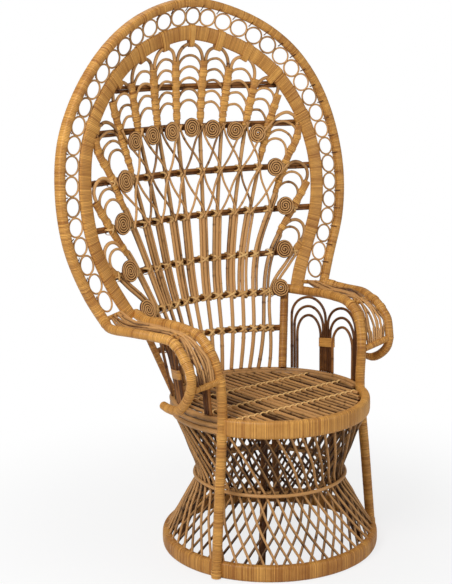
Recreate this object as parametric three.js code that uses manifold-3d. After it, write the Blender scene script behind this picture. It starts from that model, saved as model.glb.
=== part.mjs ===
// Peacock chair in bare rattan: crossed-cane base, round seat, rolled arms and a fan back.
// Millimetres, z up, the front faces -Y and the floor is z = 0. Each piece is one named mesh.
import * as THREE from "three";
import Module from "manifold-3d";

const wasm = await Module();
wasm.setup();

// Gap kept where two pieces touch, the overlap of rods tied into one piece, a cut's overrun,
// and how far a corner may move when needless small faces are dropped.
const clearance = 0.3;
const bond = 0.6;
const overrun = 12;
const meshTolerance = 0.15;

// Base.
const baseRadius = 302.5;
const baseBand = 25;
const baseHeight = 45;
const waistHeight = 205;
const waistRadius = 215.5;
const waistRod = 9.6;
const caneThickness = 5.2;
const caneWidth = 6.6;
const laySpacing = 8;
const caneCount = 32;
const caneTurn = THREE.MathUtils.degToRad(22.6);
const legWidth = 20;
const legAngle = THREE.MathUtils.degToRad(45);

// Seat.
const seatTop = 430;
const seatRadius = 277.4;
const seatBand = 25;
const seatBandHeight = 48;
const deckRod = 13;
const deckPitch = 24;
const deckSink = 6;
const bearerWidth = 14;
const bearerDepth = 16;

// Posts and arms. The angles are turned from the back.
const postRadius = 13.5;
const frontPostAngle = THREE.MathUtils.degToRad(112.6);
const postFootOut = 4;
const postRimIn = 10;
const outerRailRadius = 12.5;
const armHalfWidth = 420.4;
const armFront = 105.6;
const armLength = 328.6;
const armRise = 224;
const fanRod = 8;
const fanRods = 4;
const tieRod = 19;
const rearPostRadius = 11;
const rearPostAngle = THREE.MathUtils.degToRad(46.5);
const panelRod = 7;
const panelPitch = 6.2;

// Back.
const backHalfWidth = 504.5;
const backRise = 1070;
const backBow = 95;
const lowerPull = 75;
const stalkCircle = 268;
const outerHoopWidth = 25;
const outerHoopDepth = 28;
const ringWidth = 49.5;
const ringRod = 4.6;
const ringCount = 39;
const innerHoopWidth = 42;
const innerHoopDepth = 14;
const innerHoopReach = 30;
const barRod = 9;
const stalkWidth = 24;
const archRod = 6.4;
const outerArchRod = 10;
const crossingRod = 5;
const coilRadius = 25;
const coilRod = 5.7;
const coilGap = 1.5;
const coilTurns = 16 / 7;

// Colours of wrapped, bare and dark cane.
const wrapped = { color: 0xc49352, roughness: 0.6, metalness: 0 };
const bare = { color: 0x9c6b37, roughness: 0.55, metalness: 0 };
const dark = { color: 0x6b4423, roughness: 0.6, metalness: 0 };

// Outline of the outer hoop, crown to end: shares of the half width and of the rise.
const outlineShares = [
  [0, 1],
  [0.367, 0.961],
  [0.632, 0.887],
  [0.8305, 0.782],
  [0.955, 0.66],
  [1, 0.528],
  [0.975, 0.396],
  [0.874, 0.267],
  [0.809, 0.2065],
];

// Setback of the back's centre line from the stalk circle: shares of the rise, height first.
const spineShares = [
  [0, 0.0037],
  [0.103, 0.0178],
  [0.252, 0.0505],
  [0.374, 0.0626],
  [0.519, 0.0757],
  [0.654, 0.0879],
  [0.766, 0.086],
  [0.888, 0.0738],
  [1, 0.0561],
];

// Stalks from the centre outwards: shares of the half width and of the rise.
const stalkShares = [
  [[0.0277, 0], [0.0614, 0.4243], [0.0793, 0.6542], [0.0991, 0.8411], [0.1064, 0.91]],
  [[0.0833, 0], [0.1586, 0.4243], [0.222, 0.6542], [0.2716, 0.8411], [0.2899, 0.91]],
  [[0.1368, 0], [0.2696, 0.4243], [0.3687, 0.6449], [0.4361, 0.7897], [0.4735, 0.87]],
  [[0.1903, 0], [0.3072, 0.3047], [0.44, 0.5421], [0.5768, 0.7402], [0.618, 0.8]],
  [[0.2369, 0], [0.3816, 0.3047], [0.5407, 0.4783], [0.6313, 0.5699], [0.6939, 0.6193], [0.72, 0.69]],
  [[0.2815, 0], [0.3885, 0.2019], [0.4861, 0.3148], [0.6507, 0.4295], [0.7661, 0.5134], [0.8, 0.545]],
  [[0.337, 0], [0.425, 0.2019], [0.5709, 0.2767], [0.6626, 0.3188], [0.722, 0.3424], [0.77, 0.362]],
];

// Width of a stalk on the way up, in shares of the rise and of the stalk width.
const innerWidthShares = [[0, 0.5], [0.2, 0.5], [0.3, 1], [0.43, 1], [0.54, 0.45], [0.69, 0.45], [0.76, 0.88], [1, 0.88]];
const outerWidthShares = [[0, 0.5], [0.2, 0.5], [0.3, 0.65], [0.43, 0.45], [0.54, 0.45], [0.6, 0.8], [1, 0.8]];
const lastWidthShares = [[0, 0.42], [1, 0.42]];
const stalkWidthShares = [
  innerWidthShares,
  innerWidthShares,
  innerWidthShares,
  innerWidthShares,
  outerWidthShares,
  outerWidthShares,
  lastWidthShares,
];

// Feathers from the centre outwards: first and last tip and number of arches.
const featherShares = [
  { first: [0, 0.8815], last: [0, 0.7346], arches: 6 },
  { first: [0.1784, 0.8715], last: [0.1497, 0.728], arches: 6 },
  { first: [0.3528, 0.8455], last: [0.3033, 0.7192], arches: 5 },
  { first: [0.5302, 0.788], last: [0.4529, 0.7019], arches: 4 },
  { first: [0.6563, 0.6897], last: [0.585, 0.618], arches: 4 },
  { first: [0.7107, 0.5504], last: [0.65, 0.4953], arches: 3 },
  { first: [0.69, 0.385], last: [0.656, 0.366], arches: 2 },
];

// Coils from the centre outwards: centre, and what each is seated on.
const coilShares = [
  { centre: [0, 0.6617], seat: "bar" },
  { centre: [0.1447, 0.6551], seat: "bar" },
  { centre: [0.2973, 0.6481], seat: "bar" },
  { centre: [0.4375, 0.6374], seat: "bar" },
  { centre: [0.5372, 0.5411], seat: "bar" },
  { centre: [0.5828, 0.4346], seat: "stalk" },
  { centre: [0.558, 0.3112], seat: "stalk" },
  { centre: [0.4823, 0.2075], seat: "post" },
];

// Cross bars from the top: height as a share of the rise, half length as a share of the half width.
const barShares = [
  [0.769, 0.6],
  [0.6626, 0.735],
  [0.543, 0.79],
  [0.4252, 0.79],
  [0.3047, 0.72],
  [0.2019, 0.62],
  [0.1075, 0.42],
];

// Crossing canes: bays from one stalk to the next, between two heights of the rise.
const crossingShares = [
  { top: 0.6626, foot: 0.543, outermost: 4 },
  { top: 0.543, foot: 0.4252, outermost: 5 },
];

// Arm rails from the hoop to the front: shares of the arm's half width, length and rise.
const innerRailShares = [
  [0.7065, 0.8022, 0.9777],
  [0.7008, 0.647, 0.9955],
  [0.6898, 0.4887, 1],
  [0.6767, 0.3366, 0.9911],
  [0.6503, 0.1951, 0.9375],
  [0.6399, 0.1114, 0.8393],
  [0.6232, 0.0596, 0.7143],
  [0.6113, 0.0307, 0.5804],
  [0.598, 0.01, 0.4464],
];
const outerRailShares = [
  [0.999, 0.7687, 0.9732],
  [0.9753, 0.51, 0.9866],
  [0.9182, 0.3335, 0.9732],
  [0.8682, 0.1783, 0.942],
  [0.8587, 0.0962, 0.8661],
  [0.8539, 0.0323, 0.7723],
  [0.8397, -0.0164, 0.5424],
];
const curlShares = [
  [0.8278, -0.0043, 0.4241],
  [0.8088, 0.0505, 0.3214],
  [0.7921, 0.1236, 0.2634],
  [0.7921, 0.2605, 0.2545],
];

// Spread of the arm's bowed rods from the hoops to the tie bar, as shares of the arm's width.
const fanSpreadShares = [[0, 0.4], [0.3, 0.55], [0.56, 0.38], [0.66, 0.38], [0.85, 0.72], [1, 0.5]];

// Side panels: the centre bundle's place between the posts and the heights of the arch tops.
const bundleShare = 0.47;
const rearTipShares = [0.93, 0.81, 0.69];
const frontTipShares = [0.86, 0.74, 0.62];

// Steps and sides of the swept forms.
const roundSides = 8;
const hoopSteps = 32;
const ringSides = 6;
const coilSides = 7;
const loopSteps = 6;
const archSteps = 5;
const railSteps = 10;
const curlSteps = 5;
const fanSteps = 7;
const seatRounds = 30;

const up = new THREE.Vector3(0, 0, 1);
const group = new THREE.Group();
const vec = (x, y, z) => new THREE.Vector3(x, y, z);
const evenly = (steps) => Array.from({ length: steps + 1 }, (_, i) => i / steps);

// Value at a share of a table of [share, value] rows, joined by straight lines.
function read(table, at) {
  const next = table.findIndex(([share]) => share >= at);
  if (next === 0) return table[0][1];
  if (next < 0) return table[table.length - 1][1];
  const [shareA, valueA] = table[next - 1];
  const [shareB, valueB] = table[next];
  return THREE.MathUtils.mapLinear(at, shareA, shareB, valueA, valueB);
}

// The same on a smooth curve through the rows.
function readSmooth(table, at) {
  const last = table.length - 1;
  const next = table.findIndex(([share]) => share > at);
  const b = next < 0 ? last : Math.max(next, 1);
  const a = b - 1;
  const slope = (i) => {
    const [before, after] = [table[Math.max(i - 1, 0)], table[Math.min(i + 1, last)]];
    return (after[1] - before[1]) / (after[0] - before[0]);
  };
  const span = table[b][0] - table[a][0];
  const t = (at - table[a][0]) / span;
  const from = table[a][1] * (1 + 2 * t) + slope(a) * span * t;
  const to = table[b][1] * (3 - 2 * t) - slope(b) * span * (1 - t);
  return from * (1 - t) ** 2 + to * t ** 2;
}

// Sections, counterclockwise across a path: side first, then the reference side.
// The turn is where the first corner lies, in shares of the angle between two corners.
function roundSection(radius, sides, turn = 0.5) {
  return Array.from({ length: sides }, (_, i) => {
    const angle = ((i + turn) * 2 * Math.PI) / sides;
    return [radius * Math.cos(angle), radius * Math.sin(angle)];
  });
}

function flatSection(width, depth) {
  const w = width / 2;
  const d = depth / 2;
  return [[-w, -d], [w, -d], [w, d], [-w, d]];
}

// A ridged cane: flat on the reference side or, turned over, on the other side.
function ridgeSection(width, depth, over = false) {
  const w = width / 2;
  const d = depth / 2;
  return over ? [[w, d], [-w, d], [0, -d]] : [[-w, -d], [w, -d], [0, d]];
}

// A block with its two outer corners cut.
function blockSection(width, depth, corner) {
  const w = width / 2;
  const d = depth / 2;
  return [[-w, corner - d], [corner - w, -d], [w, -d], [w, d], [corner - w, d], [-w, d - corner]];
}

// A solid swept along points. The section and the reference side may change from point to point.
function sweep(points, sectionAt, normalAt, closed = false) {
  const count = points.length;
  const sides = sectionAt(0).length;
  const vertices = [];
  const triangles = [];
  points.forEach((point, i) => {
    const before = points[closed ? (i + count - 1) % count : Math.max(i - 1, 0)];
    const after = points[closed ? (i + 1) % count : Math.min(i + 1, count - 1)];
    const along = after.clone().sub(before).normalize();
    const side = normalAt(i).clone().cross(along).normalize();
    const front = along.clone().cross(side);
    sectionAt(i).forEach(([a, b]) => {
      vertices.push(...point.clone().addScaledVector(side, a).addScaledVector(front, b).toArray());
    });
  });
  for (let i = 0; i < (closed ? count : count - 1); i += 1) {
    const here = i * sides;
    const there = ((i + 1) % count) * sides;
    for (let j = 0; j < sides; j += 1) {
      const k = (j + 1) % sides;
      triangles.push(here + j, here + k, there + k, here + j, there + k, there + j);
    }
  }
  if (!closed) {
    const last = (count - 1) * sides;
    const cap = sectionAt(0).map(([a, b]) => new THREE.Vector2(a, b));
    THREE.ShapeUtils.triangulateShape(cap, []).forEach(([a, b, c]) => {
      triangles.push(a, c, b, last + a, last + b, last + c);
    });
  }
  return new wasm.Manifold(new wasm.Mesh({
    numProp: 3,
    vertProperties: new Float32Array(vertices),
    triVerts: new Uint32Array(triangles),
  }));
}

function rod(points, radius, sides = roundSides, normal = up) {
  const section = roundSection(radius, sides);
  return sweep(points, () => section, () => normal);
}

function join(solids) {
  return wasm.Manifold.union(solids);
}

// The largest body that is left when pieces are cut away.
function clear(solid, cutters) {
  const bodies = solid.subtract(join(cutters)).decompose();
  return bodies.reduce((a, b) => (b.volume() > a.volume() ? b : a));
}

function mirrored(solid) {
  return solid.mirror([1, 0, 0]);
}

function above(solid, height) {
  return solid.trimByPlane([0, 0, 1], height);
}

function below(solid, height) {
  return solid.trimByPlane([0, 0, -1], -height);
}

function addNode(name, solid, finish) {
  const { vertProperties, triVerts } = solid.simplify(meshTolerance).getMesh();
  const geometry = new THREE.BufferGeometry();
  geometry.setAttribute("position", new THREE.BufferAttribute(vertProperties, 3));
  geometry.setIndex(new THREE.BufferAttribute(triVerts, 1));
  geometry.computeVertexNormals();
  const mesh = new THREE.Mesh(geometry, new THREE.MeshStandardMaterial(finish));
  mesh.name = name;
  group.add(mesh);
}

// A right-hand piece and its mirror image, each cut clear of what it meets.
function addPair(name, solid, finish, cutters = []) {
  [["right", solid], ["left", mirrored(solid)]].forEach(([hand, whole]) => {
    addNode(`${name}_${hand}`, cutters.length ? clear(whole, cutters) : whole, finish);
  });
}

// A point round the chair's axis, its angle turned from the back towards the right.
function polar(radius, angle, z) {
  return vec(radius * Math.sin(angle), radius * Math.cos(angle), z);
}

// Depth of the back at a place on its outline plane.
function backDepth(x, z) {
  const rise = (z - seatTop) / backRise;
  const spine = stalkCircle + readSmooth(spineShares, rise) * backRise;
  const bow = (backBow * (1 - Math.cos((Math.PI * x) / (1.09 * backHalfWidth)))) / 2;
  const near = Math.min(Math.max(rise / 0.374, 0), 1);
  const fade = (1 + Math.cos(Math.PI * near)) / 2;
  const across = x / backHalfWidth;
  const pull = (lowerPull * (across / 0.396) ** 2) / (1 + (across / 0.515) ** 4);
  return spine - bow - pull * fade;
}

// Unit direction out of the back's front face.
function backNormal(x, z) {
  const probe = backHalfWidth / 500;
  const slopeX = (backDepth(x + probe, z) - backDepth(x - probe, z)) / (2 * probe);
  const slopeZ = (backDepth(x, z + probe) - backDepth(x, z - probe)) / (2 * probe);
  return vec(slopeX, -1, slopeZ).normalize();
}

function backPoint(x, z, out) {
  return vec(x, backDepth(x, z), z).addScaledVector(backNormal(x, z), out);
}

// A solid that follows the back along places [x, z] at one distance out of its middle.
function onBack(places, sectionAt, out, closed = false) {
  const points = places.map(([x, z]) => backPoint(x, z, out));
  return sweep(points, sectionAt, (i) => backNormal(...places[i]), closed);
}

const place = ([across, rise]) => [across * backHalfWidth, seatTop + rise * backRise];

// The outer hoop's outline as one curve, from the left end over the crown to the right end.
const half = outlineShares.map(place);
const outline = new THREE.CatmullRomCurve3([
  ...half.slice(1).reverse().map(([x, z]) => vec(-x, 0, z)),
  ...half.map(([x, z]) => vec(x, 0, z)),
]);
outline.arcLengthDivisions = 800;

// A place on the outline, moved inwards, and past the curve's ends by a reach.
// The share runs from 0 at the left end to 1 at the right end.
function inset(share, distance, reach = 0) {
  const point = outline.getPointAt(share);
  const along = outline.getTangentAt(share);
  const past = share < 0.5 ? -reach : reach;
  return [
    point.x + along.z * distance + along.x * past,
    point.z - along.x * distance + along.z * past,
  ];
}

// Hoops turn at the middle of each ring, so the rings fit between their corners.
const ringShares = Array.from({ length: ringCount }, (_, i) => (i + 0.5) / ringCount);
const ringInset = outerHoopWidth + ringWidth / 2;
const innerInset = outerHoopWidth + ringWidth + innerHoopWidth / 2;

function hoop(distance, reach, section) {
  const places = [
    inset(0, distance, reach),
    ...ringShares.map((share) => inset(share, distance)),
    inset(1, distance, reach),
  ];
  return onBack(places, () => section, 0);
}

function outerHoop(gap) {
  const section = blockSection(outerHoopWidth + 2 * gap, outerHoopDepth + 2 * gap, outerHoopWidth / 4);
  return hoop(outerHoopWidth / 2, gap, section);
}

function innerHoop(gap) {
  const section = flatSection(innerHoopWidth + 2 * gap, innerHoopDepth + 2 * gap);
  return hoop(innerInset, innerHoopReach + gap, section);
}

// Small rings that fill the strip between the hoops and overlap into one chain.
function ringStrip() {
  const section = roundSection(ringRod / 2, 3, 0);
  const reach = (ringWidth / 2 - 2 * clearance - ringRod / 2) / Math.cos(Math.PI / ringSides);
  const rings = ringShares.map((share) => {
    const [x, z] = inset(share, ringInset);
    const [beforeX, beforeZ] = inset(share - 0.5 / ringCount, ringInset);
    const [afterX, afterZ] = inset(share + 0.5 / ringCount, ringInset);
    const along = vec(afterX - beforeX, 0, afterZ - beforeZ);
    const stretch = (along.length() - ringRod) / 2 + bond;
    along.normalize();
    const places = Array.from({ length: ringSides }, (_, i) => {
      const angle = (2 * Math.PI * i) / ringSides;
      const a = stretch * Math.cos(angle);
      const b = reach * Math.sin(angle);
      return [x + a * along.x + b * along.z, z + a * along.z - b * along.x];
    });
    return onBack(places, () => section, 0, true);
  });
  return join(rings);
}

// Stalk curves from the centre outwards. Stalk numbers are 1 to 7 on the right, -1 to -7 left.
const stalks = stalkShares.map((shares) => new THREE.CatmullRomCurve3(
  shares.map(place).map(([x, z]) => vec(x, 0, z)),
));
const lastStalk = stalks.length;

function stalkPoint(number, share) {
  const point = stalks[Math.abs(number) - 1].getPointAt(share);
  return vec(Math.sign(number) * point.x, 0, point.z);
}

function stalkSpan(number, z) {
  return read(stalkWidthShares[Math.abs(number) - 1], (z - seatTop) / backRise) * stalkWidth;
}

function stalkPointAt(number, rise) {
  const z = seatTop + rise * backRise;
  return stalkPoint(number, stalkShareBy(number, (point) => Math.abs(point.z - z)));
}

// Share of a stalk's length where a measure of its point is smallest.
function stalkShareBy(number, measure) {
  return evenly(400).reduce((best, share) => (
    measure(stalkPoint(number, share)) < measure(stalkPoint(number, best)) ? share : best));
}

// Unit direction up along the stalk.
function stalkAlong(number, share) {
  const from = stalkPoint(number, Math.max(share - 0.01, 0));
  return stalkPoint(number, Math.min(share + 0.01, 1)).sub(from).normalize();
}

// Where an arch with its tip at a point leaves a stalk.
function springShare(number, tip) {
  const near = stalkShareBy(number, (point) => point.distanceTo(tip));
  const gap = stalkPoint(number, near).distanceTo(tip);
  return Math.max(near - gap / stalks[Math.abs(number) - 1].getLength(), 0);
}

// An arch from two feet to its tip. A foot has a point and a direction up its stalk.
function archPoints(feet, tip, steps) {
  const middle = feet[0].point.clone().add(feet[1].point).multiplyScalar(0.5);
  const rise = tip.distanceTo(middle);
  const axis = tip.clone().sub(middle).normalize();
  const across = vec(axis.z, 0, -axis.x);
  const halfSpan = Math.abs(feet[1].point.clone().sub(feet[0].point).dot(across)) / 2;
  const sides = feet.map(({ point, along }, i) => new THREE.CubicBezierCurve3(
    point,
    point.clone().addScaledVector(along, rise * 0.6),
    tip.clone().addScaledVector(across, (i === 0 ? -1 : 1) * halfSpan * 0.6),
    tip,
  ));
  return evenly(steps).map((share) => (
    share < 0.5 ? sides[0].getPoint(2 * share) : sides[1].getPoint(2 - 2 * share)));
}

// An inner arch, its ends sunk into the halves of its two stalks.
function innerArch(left, right, tip) {
  const feet = [[left, 1], [right, -1]].map(([number, hand]) => {
    const share = springShare(number, tip);
    const along = stalkAlong(number, share);
    const point = stalkPoint(number, share);
    const offset = Math.max(stalkSpan(number, point.z) / 4, archRod / 2 + bond);
    return { point: point.add(vec(along.z, 0, -along.x).multiplyScalar(hand * offset)), along };
  });
  const section = roundSection(archRod / 2, 3, 0.75);
  return onBack(archPoints(feet, tip, archSteps).map(({ x, z }) => [x, z]), () => section, 0);
}

// Places where a stalk bends: its foot below the seat's top, each bar but the lowest, and where
// the feathers on its two sides leave it.
function stalkPlaces(number) {
  const bends = barShares.slice(0, -1).map(([rise]) => stalkPointAt(number, rise));
  const tips = [Math.abs(number) - 1, Math.abs(number)].filter((bay) => bay < featherShares.length);
  const springs = tips.map((bay) => {
    const [x, z] = place(featherShares[bay].first);
    return stalkPoint(number, springShare(number, vec(Math.sign(number) * x, 0, z)));
  });
  const foot = stalkPoint(number, 0).setZ(seatTop - overrun);
  return [foot, ...bends, ...springs].sort((a, b) => a.z - b.z);
}

// The outer loop of a feather: its half of one stalk, the outermost arch, and its half of the next
// stalk. The last stalk has no neighbour, so it is taken whole.
function featherLoop(left, right, tip) {
  const d = innerHoopDepth / 2;
  const legs = [left, right].map((number) => {
    const spring = springShare(number, tip);
    const point = stalkPoint(number, spring);
    const places = stalkPlaces(number).filter(({ z }, i) => i === 0 || z < point.z - clearance);
    const wide = ({ z }) => stalkSpan(number, z) / 2;
    const outer = number === lastStalk ? wide : () => -clearance;
    const sectionAt = (at) => [[-wide(at), -d], [outer(at), -d], [outer(at), d], [-wide(at), d]];
    return { foot: { point, along: stalkAlong(number, spring) }, places, sectionAt };
  });
  const half = outerArchRod / 2;
  const bow = [[-outerArchRod, -half], [-clearance, -half], [-clearance, half], [-outerArchRod, half]];
  const arch = archPoints(legs.map((leg) => leg.foot), tip, loopSteps);
  const ends = [arch.shift(), arch.pop()];
  const rows = [
    ...[...legs[0].places, ends[0]].map((at) => [at, legs[0].sectionAt(at)]),
    ...arch.map((at) => [at, bow]),
    ...[...legs[1].places, ends[1]].map((at) => [at, legs[1].sectionAt(at)]).reverse(),
  ];
  return onBack(rows.map(([{ x, z }]) => [x, z]), (i) => rows[i][1], 0);
}

// The feather between two neighbouring stalks: its outer loop and the arches inside it.
function feather(bay, cutter) {
  const { first, last, arches } = featherShares[bay];
  const [left, right] = bay === 0 ? [-1, 1] : [bay, bay + 1];
  const [outerTip, ...tips] = evenly(arches - 1).map((share) => {
    const [x, z] = place(first.map((value, i) => THREE.MathUtils.lerp(value, last[i], share)));
    return vec(x, 0, z);
  });
  const arcs = tips.map((tip) => innerArch(left, right, tip));
  const whole = join([featherLoop(left, right, outerTip), ...arcs]);
  return above(clear(whole, [cutter]), seatTop + clearance).simplify(meshTolerance);
}

// Moves a piece along a direction until it is only the clearance away from its support.
function seated(solid, support, direction) {
  let shift = -overrun;
  for (let i = 0; i < seatRounds; i += 1) {
    const at = direction.clone().multiplyScalar(shift).toArray();
    shift += solid.translate(at).minGap(support, 3 * overrun) - clearance;
  }
  return direction.clone().multiplyScalar(shift).toArray();
}

// A dark bar across the back, behind the stalks and the inner hoop. It bends at what it carries.
const barOut = -innerHoopDepth / 2 - clearance - barRod / 2;

function bar([rise, reach], gap) {
  const end = reach * backHalfWidth;
  const z = seatTop + rise * backRise;
  const carried = [
    ...stalks.map((_, i) => stalkPointAt(i + 1, rise)).filter((point) => Math.abs(point.z - z) < barRod),
    ...coilShares.map(({ centre }) => place(centre)).filter((centre) => Math.abs(centre[1] - z) < coilRadius)
      .map(([x]) => vec(x, 0, z)),
  ].map(({ x }) => x).filter((x) => x > 0 && x < end - barRod).sort((a, b) => a - b);
  const right = [...carried, end];
  const places = [...right.map((x) => -x).reverse(), 0, ...right].map((x) => [x, z]);
  const section = flatSection(barRod + 2 * gap, barRod + 2 * gap);
  return onBack(places, () => section, barOut).simplify(meshTolerance);
}

// How far out of the back's middle a coil's own middle lies, by what it is seated on.
const coilOut = {
  bar: (coilRod - innerHoopDepth) / 2,
  stalk: (coilRod + innerHoopDepth) / 2 + clearance,
  post: coilRod / 2 + clearance + rearPostRadius,
};

// The coil's route in its own plane: a flat spiral from the rim to the middle.
function coilRoute(turnSteps) {
  const steps = Math.round(coilTurns * turnSteps);
  return evenly(steps).map((share) => {
    const turned = share * coilTurns;
    const radius = coilRadius - coilRod / 2 - turned * (coilRod + coilGap);
    const angle = turned * 2 * Math.PI;
    return [radius * Math.cos(angle), radius * Math.sin(angle)];
  });
}

function coil({ centre, seat }, support) {
  const [x, z] = place(centre);
  const hand = x === 0 ? 1 : Math.sign(x);
  const places = coilRoute(coilSides).map(([a, b]) => [x + hand * a, z + b]);
  const middle = backPoint(x, z, coilOut[seat]);
  const normal = backNormal(x, z);
  const side = vec(0, 0, 1).cross(normal).normalize();
  const rise = normal.clone().cross(side);
  const points = places.map(([px, pz]) => middle.clone()
    .addScaledVector(side, px - x).addScaledVector(rise, pz - z));
  const section = ridgeSection(coilRod, coilRod);
  const solid = sweep(points, () => section, () => normal);
  return solid.translate(seated(solid, support, normal.clone().negate()));
}

// The least gap between a coil's turns, measured between the chords of its route.
function coilLeastGap() {
  const route = coilRoute(coilSides);
  const fine = route.slice(1).flatMap((to, i) => evenly(4).slice(1).map((share) => [
    i + share,
    THREE.MathUtils.lerp(route[i][0], to[0], share),
    THREE.MathUtils.lerp(route[i][1], to[1], share),
  ]));
  let least = Infinity;
  fine.forEach(([s, x, y]) => fine.forEach(([t, u, v]) => {
    if (t - s > coilSides / 2) least = Math.min(least, Math.hypot(u - x, v - y) - coilRod);
  }));
  return least;
}

// Thin canes that cross in each bay in front of the stalks, tied to each other at the stalks.
function crossingCanes() {
  const section = roundSection(crossingRod / 2, 3, 0.75);
  const out = innerHoopDepth / 2 + 2 * clearance + crossingRod / 4;
  const zigzags = crossingShares.flatMap(({ top, foot, outermost }) => {
    const numbers = Array.from({ length: outermost }, (_, i) => i + 1);
    const row = [...numbers.map((n) => -n).reverse(), ...numbers];
    return [[top, foot], [foot, top]].map((rises) => (
      row.map((number, i) => stalkPointAt(number, rises[i % 2])).map(({ x, z }) => [x, z])));
  });
  return join(zigzags.map((places) => onBack(places, () => section, out)));
}

// A point of the right arm from shares of its half width, length and rise.
function armPoint([across, back, rise]) {
  return vec(across * armHalfWidth, back * armLength - armFront, seatTop + rise * armRise);
}

// Rail curves from the hoop's end to the front.
function hoopEnd(distance, reach) {
  const [x, z] = inset(1, distance, reach);
  return backPoint(x, z, 0);
}

const innerRail = new THREE.CatmullRomCurve3([
  hoopEnd(innerInset, innerHoopReach / 2),
  ...innerRailShares.map(armPoint),
]);
const outerRail = new THREE.CatmullRomCurve3([
  hoopEnd(outerHoopWidth / 2, 0),
  ...outerRailShares.map(armPoint),
]);
const postFoot = polar(baseRadius + postFootOut, frontPostAngle, 0);
const postRim = polar(seatRadius - postRimIn, frontPostAngle, seatTop);

// The wrapped post that stands on the floor and turns back over the seat as the inner rail.
function frontPost(gap) {
  const points = [...innerRail.getSpacedPoints(railSteps), postRim, postFoot.clone().setZ(-overrun)];
  return above(rod(points, postRadius + gap, roundSides, vec(1, 0, 0)), -gap);
}

function outerArmRail(gap) {
  const curl = new THREE.CatmullRomCurve3([outerRailShares.at(-1), ...curlShares].map(armPoint));
  const points = [...outerRail.getSpacedPoints(railSteps), ...curl.getPoints(curlSteps).slice(1)];
  return rod(points, outerRailRadius + gap, roundSides, vec(1, 0, 0));
}

// Bowed rods between the two rails, gathered over the bend and on the tie bar in front.
function armFan() {
  const middleRod = (fanRods - 1) / 2;
  const between = (share, across) => innerRail.getPointAt(share).lerp(outerRail.getPointAt(share), across);
  const rods = Array.from({ length: fanRods }, (_, i) => {
    const points = evenly(fanSteps).map((share) => {
      const across = 0.5 + ((i - middleRod) / (fanRods - 1)) * read(fanSpreadShares, share);
      return between(share, across);
    });
    return rod(points, fanRod / 2, 3, vec(1, 0, 0));
  });
  const tie = rod([innerRail.getPointAt(1), outerRail.getPointAt(1)], tieRod / 2, 5);
  const gather = rod([between(0.61, 0.27), between(0.61, 0.73)], fanRod / 2 + bond, 3);
  return join([...rods, tie, gather]);
}

// The wrapped rear post from the seat rim to the lowest bar's height, under the last coil.
function rearPost(gap) {
  const foot = polar(stalkCircle, rearPostAngle, seatTop);
  const [x, z] = place(coilShares.at(-1).centre);
  const along = backPoint(x, z, 0).sub(foot);
  const points = [foot.clone().addScaledVector(along, -0.1), foot.clone().add(along)];
  return above(rod(points, rearPostRadius + gap, roundSides, vec(0, 1, 0)), seatTop + clearance);
}

// A point of the side panel: along it from the rear post to the front post, and up it.
function panelPoint(along, rise) {
  const angle = THREE.MathUtils.lerp(rearPostAngle, frontPostAngle, along);
  const foot = polar(stalkCircle, angle, seatTop);
  const head = innerRail.getPointAt(0.12 + 0.5 * along);
  return foot.lerp(head, rise);
}

// Nested arches of dark canes in two bays, with the canes between the bays tied as one bundle.
function sideArches() {
  const pitch = panelPitch / (stalkCircle * (frontPostAngle - rearPostAngle));
  const bays = [
    { from: 0.035, to: bundleShare, tips: rearTipShares },
    { from: bundleShare, to: 0.955, tips: frontTipShares },
  ];
  const section = roundSection(panelRod / 2, 3, 0.25);
  const canes = bays.flatMap(({ from, to, tips }) => tips.map((tip, i) => {
    const start = from + (i + 0.5) * pitch;
    const end = to - (i + 0.5) * pitch;
    const halfSpan = (end - start) / 2;
    const spring = tip - 0.3;
    const bow = evenly(4).map((share) => {
      const angle = Math.PI * (1 - share);
      return [start + halfSpan * (1 + Math.cos(angle)), spring + 0.3 * Math.sin(angle)];
    });
    const route = [[start, -0.1], ...bow, [end, -0.1]];
    const points = route.map(([along, rise]) => panelPoint(along, rise));
    return sweep(points, () => section, (k) => {
      const [along, rise] = route[k];
      const level = panelPoint(along + pitch, rise).sub(panelPoint(along - pitch, rise));
      return level.cross(up).normalize();
    });
  }));
  return join(canes);
}

// A band or a set of rods round the chair, between two angles turned from the back.
function seatArc(from, to, steps, section) {
  const radius = seatRadius - seatBand / 2;
  const z = seatTop - seatBandHeight / 2;
  const points = evenly(steps).map((share) => polar(radius, THREE.MathUtils.lerp(from, to, share), z));
  return sweep(points, () => section, () => up);
}

// Three stacked rods, flat on the inside.
function rimSection() {
  const lobe = seatBandHeight / 3;
  const w = seatBand / 2;
  const outer = evenly(6).map((share, i) => [i % 2 ? w : w - lobe / 4, (share - 0.5) * seatBandHeight]);
  return [...outer, [-w, seatBandHeight / 2], [-w, -seatBandHeight / 2]];
}

// Radii of the lattice: centre of each lay at the base, the waist and the seat.
const outerLayWaist = waistRadius - waistRod - caneThickness / 2 + bond;
const innerLayWaist = outerLayWaist - laySpacing;
const innerWaistHoop = innerLayWaist - caneThickness / 2 - waistRod / 2 + bond;
const legCircle = innerWaistHoop - waistRod / 2 - clearance - legWidth / 2;
const footCircle = baseRadius - baseBand - legWidth;

// A whole hoop, its corners half a step from the back.
function roundHoop(radius, z, section, steps) {
  const points = Array.from({ length: steps }, (_, i) => (
    polar(radius / Math.cos(Math.PI / steps), (2 * Math.PI * (i + 0.5)) / steps, z)));
  return sweep(points, () => section, () => up, true);
}

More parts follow.
